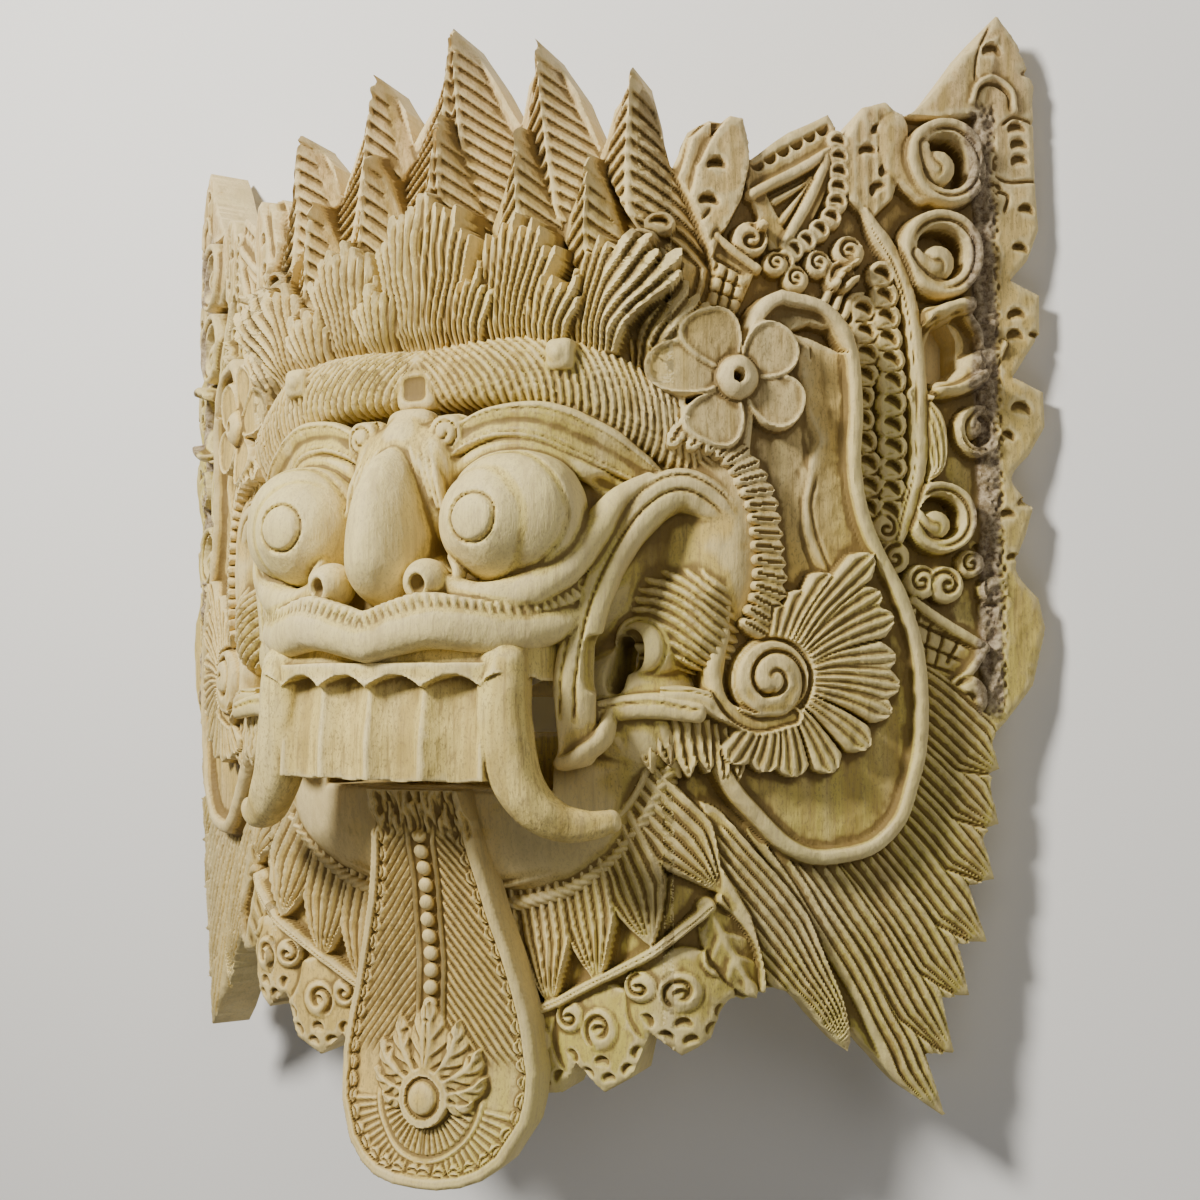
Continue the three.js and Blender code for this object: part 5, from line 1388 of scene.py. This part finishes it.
def carved_wood():
    """Unfinished pale wood: cream and yellow green, streaked along the block, with painted shade and brown
    dust in the cuts and a painted highlight on the front.
    """
    material = bpy.data.materials.new("pale_carved_wood")
    material.use_nodes = True
    tree = material.node_tree
    tree.nodes.clear()
    m = Maker(tree)
    place = m.node("ShaderNodeTexCoord", out=3)
    split = tree.nodes.new("ShaderNodeSeparateXYZ")
    tree.links.new(place.socket, split.inputs[0])
    x, y, z = (Value(m, split.outputs[k]) for k in range(3))
    sink = m.node("ShaderNodeAttribute", {"attribute_name": "sink"}, out=2)

    drift = m.noise(place, (1, 0.6, 1), 5.0, 3.0)
    wood = m.tint(m.within(drift, 0.40, 0.62), (0.66, 0.475, 0.145, 1), (0.54, 0.455, 0.10, 1))
    pink = m.within(y + 0.10 * drift, 0.13, 0.27)
    wood = m.tint(0.75 * pink, wood, (0.64, 0.44, 0.24, 1))
    grey = m.noise(place, (1, 1, 1), 8.5, 2.0, shift=(3.1, 1.7, 0.4))
    wood = m.tint(0.40 * m.within(grey, 0.56, 0.70), wood, (0.52, 0.44, 0.30, 1))
    # Painted highlight: the frontmost parts, from 0.135 to 0.172 m up, are tinted pale yellow as if lit
    # brighter
    wood = m.tint(0.60 * m.within(z, 0.135, 0.172), wood, (0.87, 0.71, 0.25, 1))
    # Growth streaks run the length of the block and turn with its depth
    streak = m.noise(place, (1.0, 0.045, 1.0), 95.0, 3.0, 0.6)
    wood = m.tint(0.70 * m.within(streak, 0.48, 0.66), wood, (0.42, 0.30, 0.08, 1))
    fine = m.noise(place, (1.0, 0.07, 1.0), 480.0, 3.0, 0.7)
    wood = m.tint(0.75 * m.within(fine, 0.48, 0.68), wood, (0.37, 0.265, 0.09, 1))
    pale = m.noise(place, (1.0, 0.10, 1.0), 60.0, 2.0, 0.5, shift=(0.7, 0.2, 0.9))
    wood = m.tint(0.40 * m.within(pale, 0.52, 0.72), wood, (0.77, 0.64, 0.33, 1))
    speck = m.noise(place, (1, 0.5, 1), 1100.0, 2.0, 0.75)
    wood = m.tint(0.65 * m.within(speck, 0.52, 0.66), wood, (0.32, 0.235, 0.095, 1))
    # Cuts and corners hold brown dust, edges are rubbed pale
    # Painted shade with brown dust darkens the cuts and corners; raised edges are painted paler and made a
    # little smoother
    patch = m.noise(place, (1, 1, 1), 38.0, 3.0, 0.6)
    shade_and_dust = m.within(sink + 0.5 * patch - 0.25, 0.06, 0.85)
    wood = m.tint(0.86 * shade_and_dust, wood, (0.17, 0.105, 0.028, 1))
    raised_edge = m.within(sink, -0.15, -0.9)
    wood = m.tint(0.45 * raised_edge, wood, (0.83, 0.70, 0.38, 1))
    # Band of rough bark along the outer border
    across = m.node("ShaderNodeMath", {"operation": "ABSOLUTE"}, {0: x})
    edge = m.noise(place, (1, 1, 1), 70.0, 3.0, shift=(0.2, 0.1, 0.3))
    off = m.node("ShaderNodeMath", {"operation": "ABSOLUTE"}, {0: across + 0.006 * edge - BARK_ACROSS})
    bark = m.within(off, 0.0056, 0.0034) * m.within(y, -0.062, -0.05)
    bark = bark * m.within(y, 0.205, 0.196) * m.within(z, 0.018, 0.022)
    crumbs = m.noise(place, (1, 1, 1), 330.0, 4.0, 0.7)
    crust = m.tint(m.within(crumbs, 0.35, 0.65), (0.12, 0.08, 0.045, 1), (0.43, 0.345, 0.235, 1))
    wood = m.tint(0.85 * bark, wood, crust)

    rough = 0.66 + 0.14 * m.noise(place, (1, 0.3, 1), 160.0, 2.0) - 0.08 * raised_edge
    pores = m.noise(place, (1.0, 0.12, 1.0), 620.0, 3.0, 0.7)
    tool = m.noise(place, (1, 0.7, 1), 150.0, 4.0, 0.65)
    warp = m.node("ShaderNodeMapping", {}, {0: place, 3: (1.0, 0.6, 1.0)})
    facets = m.node("ShaderNodeTexVoronoi", {"feature": "F1"}, {"Vector": warp, "Scale": 170.0})
    height = 0.45 * pores + 0.7 * tool + 0.7 * facets + 0.8 * crumbs * bark
    bump = m.node("ShaderNodeBump", {}, {"Strength": 0.55, "Distance": 0.0011, "Height": height})
    shader = m.node("ShaderNodeBsdfPrincipled", {}, {
        "Base Color": wood, "Roughness": rough, "Normal": bump, "Specular IOR Level": 0.32,
    })
    m.node("ShaderNodeOutputMaterial", {}, {0: shader})
    return material


def plain(name, colour, rough):
    """One even colour."""
    material = bpy.data.materials.new(name)
    material.use_nodes = True
    base = material.node_tree.nodes["Principled BSDF"]
    base.inputs["Base Color"].default_value = colour
    base.inputs["Roughness"].default_value = rough
    return material


LIT_POINT = Vector((0, 0, 0.08))


def area_light(name, place, size, watts, colour):
    """A soft round lamp that faces the middle of the mask."""
    light = bpy.data.lights.new(name, "AREA")
    light.shape = "DISK"
    light.size = size
    light.energy = watts
    light.color = colour
    obj = bpy.data.objects.new(name, light)
    obj.location = place
    obj.rotation_euler = (LIT_POINT - Vector(place)).to_track_quat("-Z", "Y").to_euler()
    bpy.context.scene.collection.objects.link(obj)


# How often a surface is evened out, and what the sink after some of those steps counts for
SETTLE_STEPS = 24
SINK_SHARE = {4: 1.9, SETTLE_STEPS - 1: 1.0}


def sinks(obj):
    """How far each point lies below the surface around it, in mm, near and wide."""
    mesh = obj.data
    n = len(mesh.vertices)
    co = np.empty(n * 3, np.float32)
    mesh.vertices.foreach_get("co", co)
    co = co.reshape(-1, 3).astype(float) * 1000
    nor = np.empty(n * 3, np.float32)
    mesh.vertex_normals.foreach_get("vector", nor)
    nor = nor.reshape(-1, 3).astype(float)
    ends = np.empty(len(mesh.edges) * 2, np.int32)
    mesh.edges.foreach_get("vertices", ends)
    a, b = ends.reshape(-1, 2).T
    length = np.linalg.norm(co[b] - co[a], axis=1)
    pull = 1 / np.maximum(length, 0.2)
    weight = np.bincount(a, pull, n) + np.bincount(b, pull, n)
    soft = co.copy()
    total = np.zeros(n)
    for k in range(SETTLE_STEPS):
        for axis in range(3):
            near = np.bincount(a, soft[b, axis] * pull, n) + np.bincount(b, soft[a, axis] * pull, n)
            soft[:, axis] = 0.4 * soft[:, axis] + 0.6 * near / weight
        if k in SINK_SHARE:
            total += np.einsum("ij,ij->i", soft - co, nor) * SINK_SHARE[k]
    with_values(obj, "sink", np.clip(total, -2, 2))


wood = carved_wood()
for made in carve_all(wood):
    sinks(made)

# Studio: pale floor, soft light from the brow side, camera to the right looking down
bpy.ops.mesh.primitive_plane_add(size=12, location=(0, 0, 0))
floor = bpy.context.object
floor.name = "floor"
floor.data.materials.append(plain("pale_floor", (0.80, 0.79, 0.77, 1), 0.85))

# The camera looks down from the right side, by yaw and rise in the frame
CAMERA_PLACE = (0.3056, -0.04845, 0.6207)
YAW, RISE = math.radians(25.0), math.atan(95 / 1400)
right = Vector((math.cos(YAW), 0, -math.sin(YAW)))
forward = Vector((-math.sin(YAW) * math.cos(RISE), math.sin(RISE), -math.cos(YAW) * math.cos(RISE)))
up = right.cross(forward)
lens = bpy.data.cameras.new("camera")
lens.sensor_width = 36
lens.lens = 42
camera = bpy.data.objects.new("camera", lens)
turned = Matrix((right, up, -forward)).transposed().to_4x4()
camera.matrix_world = Matrix.Translation(CAMERA_PLACE) @ turned
bpy.context.scene.collection.objects.link(camera)
bpy.context.scene.camera = camera

area_light("key", (-0.42, 0.66, 1.0), 0.26, 27.5, (1.0, 0.97, 0.91))
area_light("side", (0.9, 0.35, 0.9), 0.7, 2.8, (1.0, 0.98, 0.95))
area_light("low", (0.25, -0.8, 1.2), 0.8, 2.0, (1.0, 0.98, 0.95))
world = bpy.data.worlds.new("studio")
world.use_nodes = True
world.node_tree.nodes["Background"].inputs[0].default_value = (1.0, 0.97, 0.92, 1)
world.node_tree.nodes["Background"].inputs[1].default_value = 0.07
bpy.context.scene.world = world
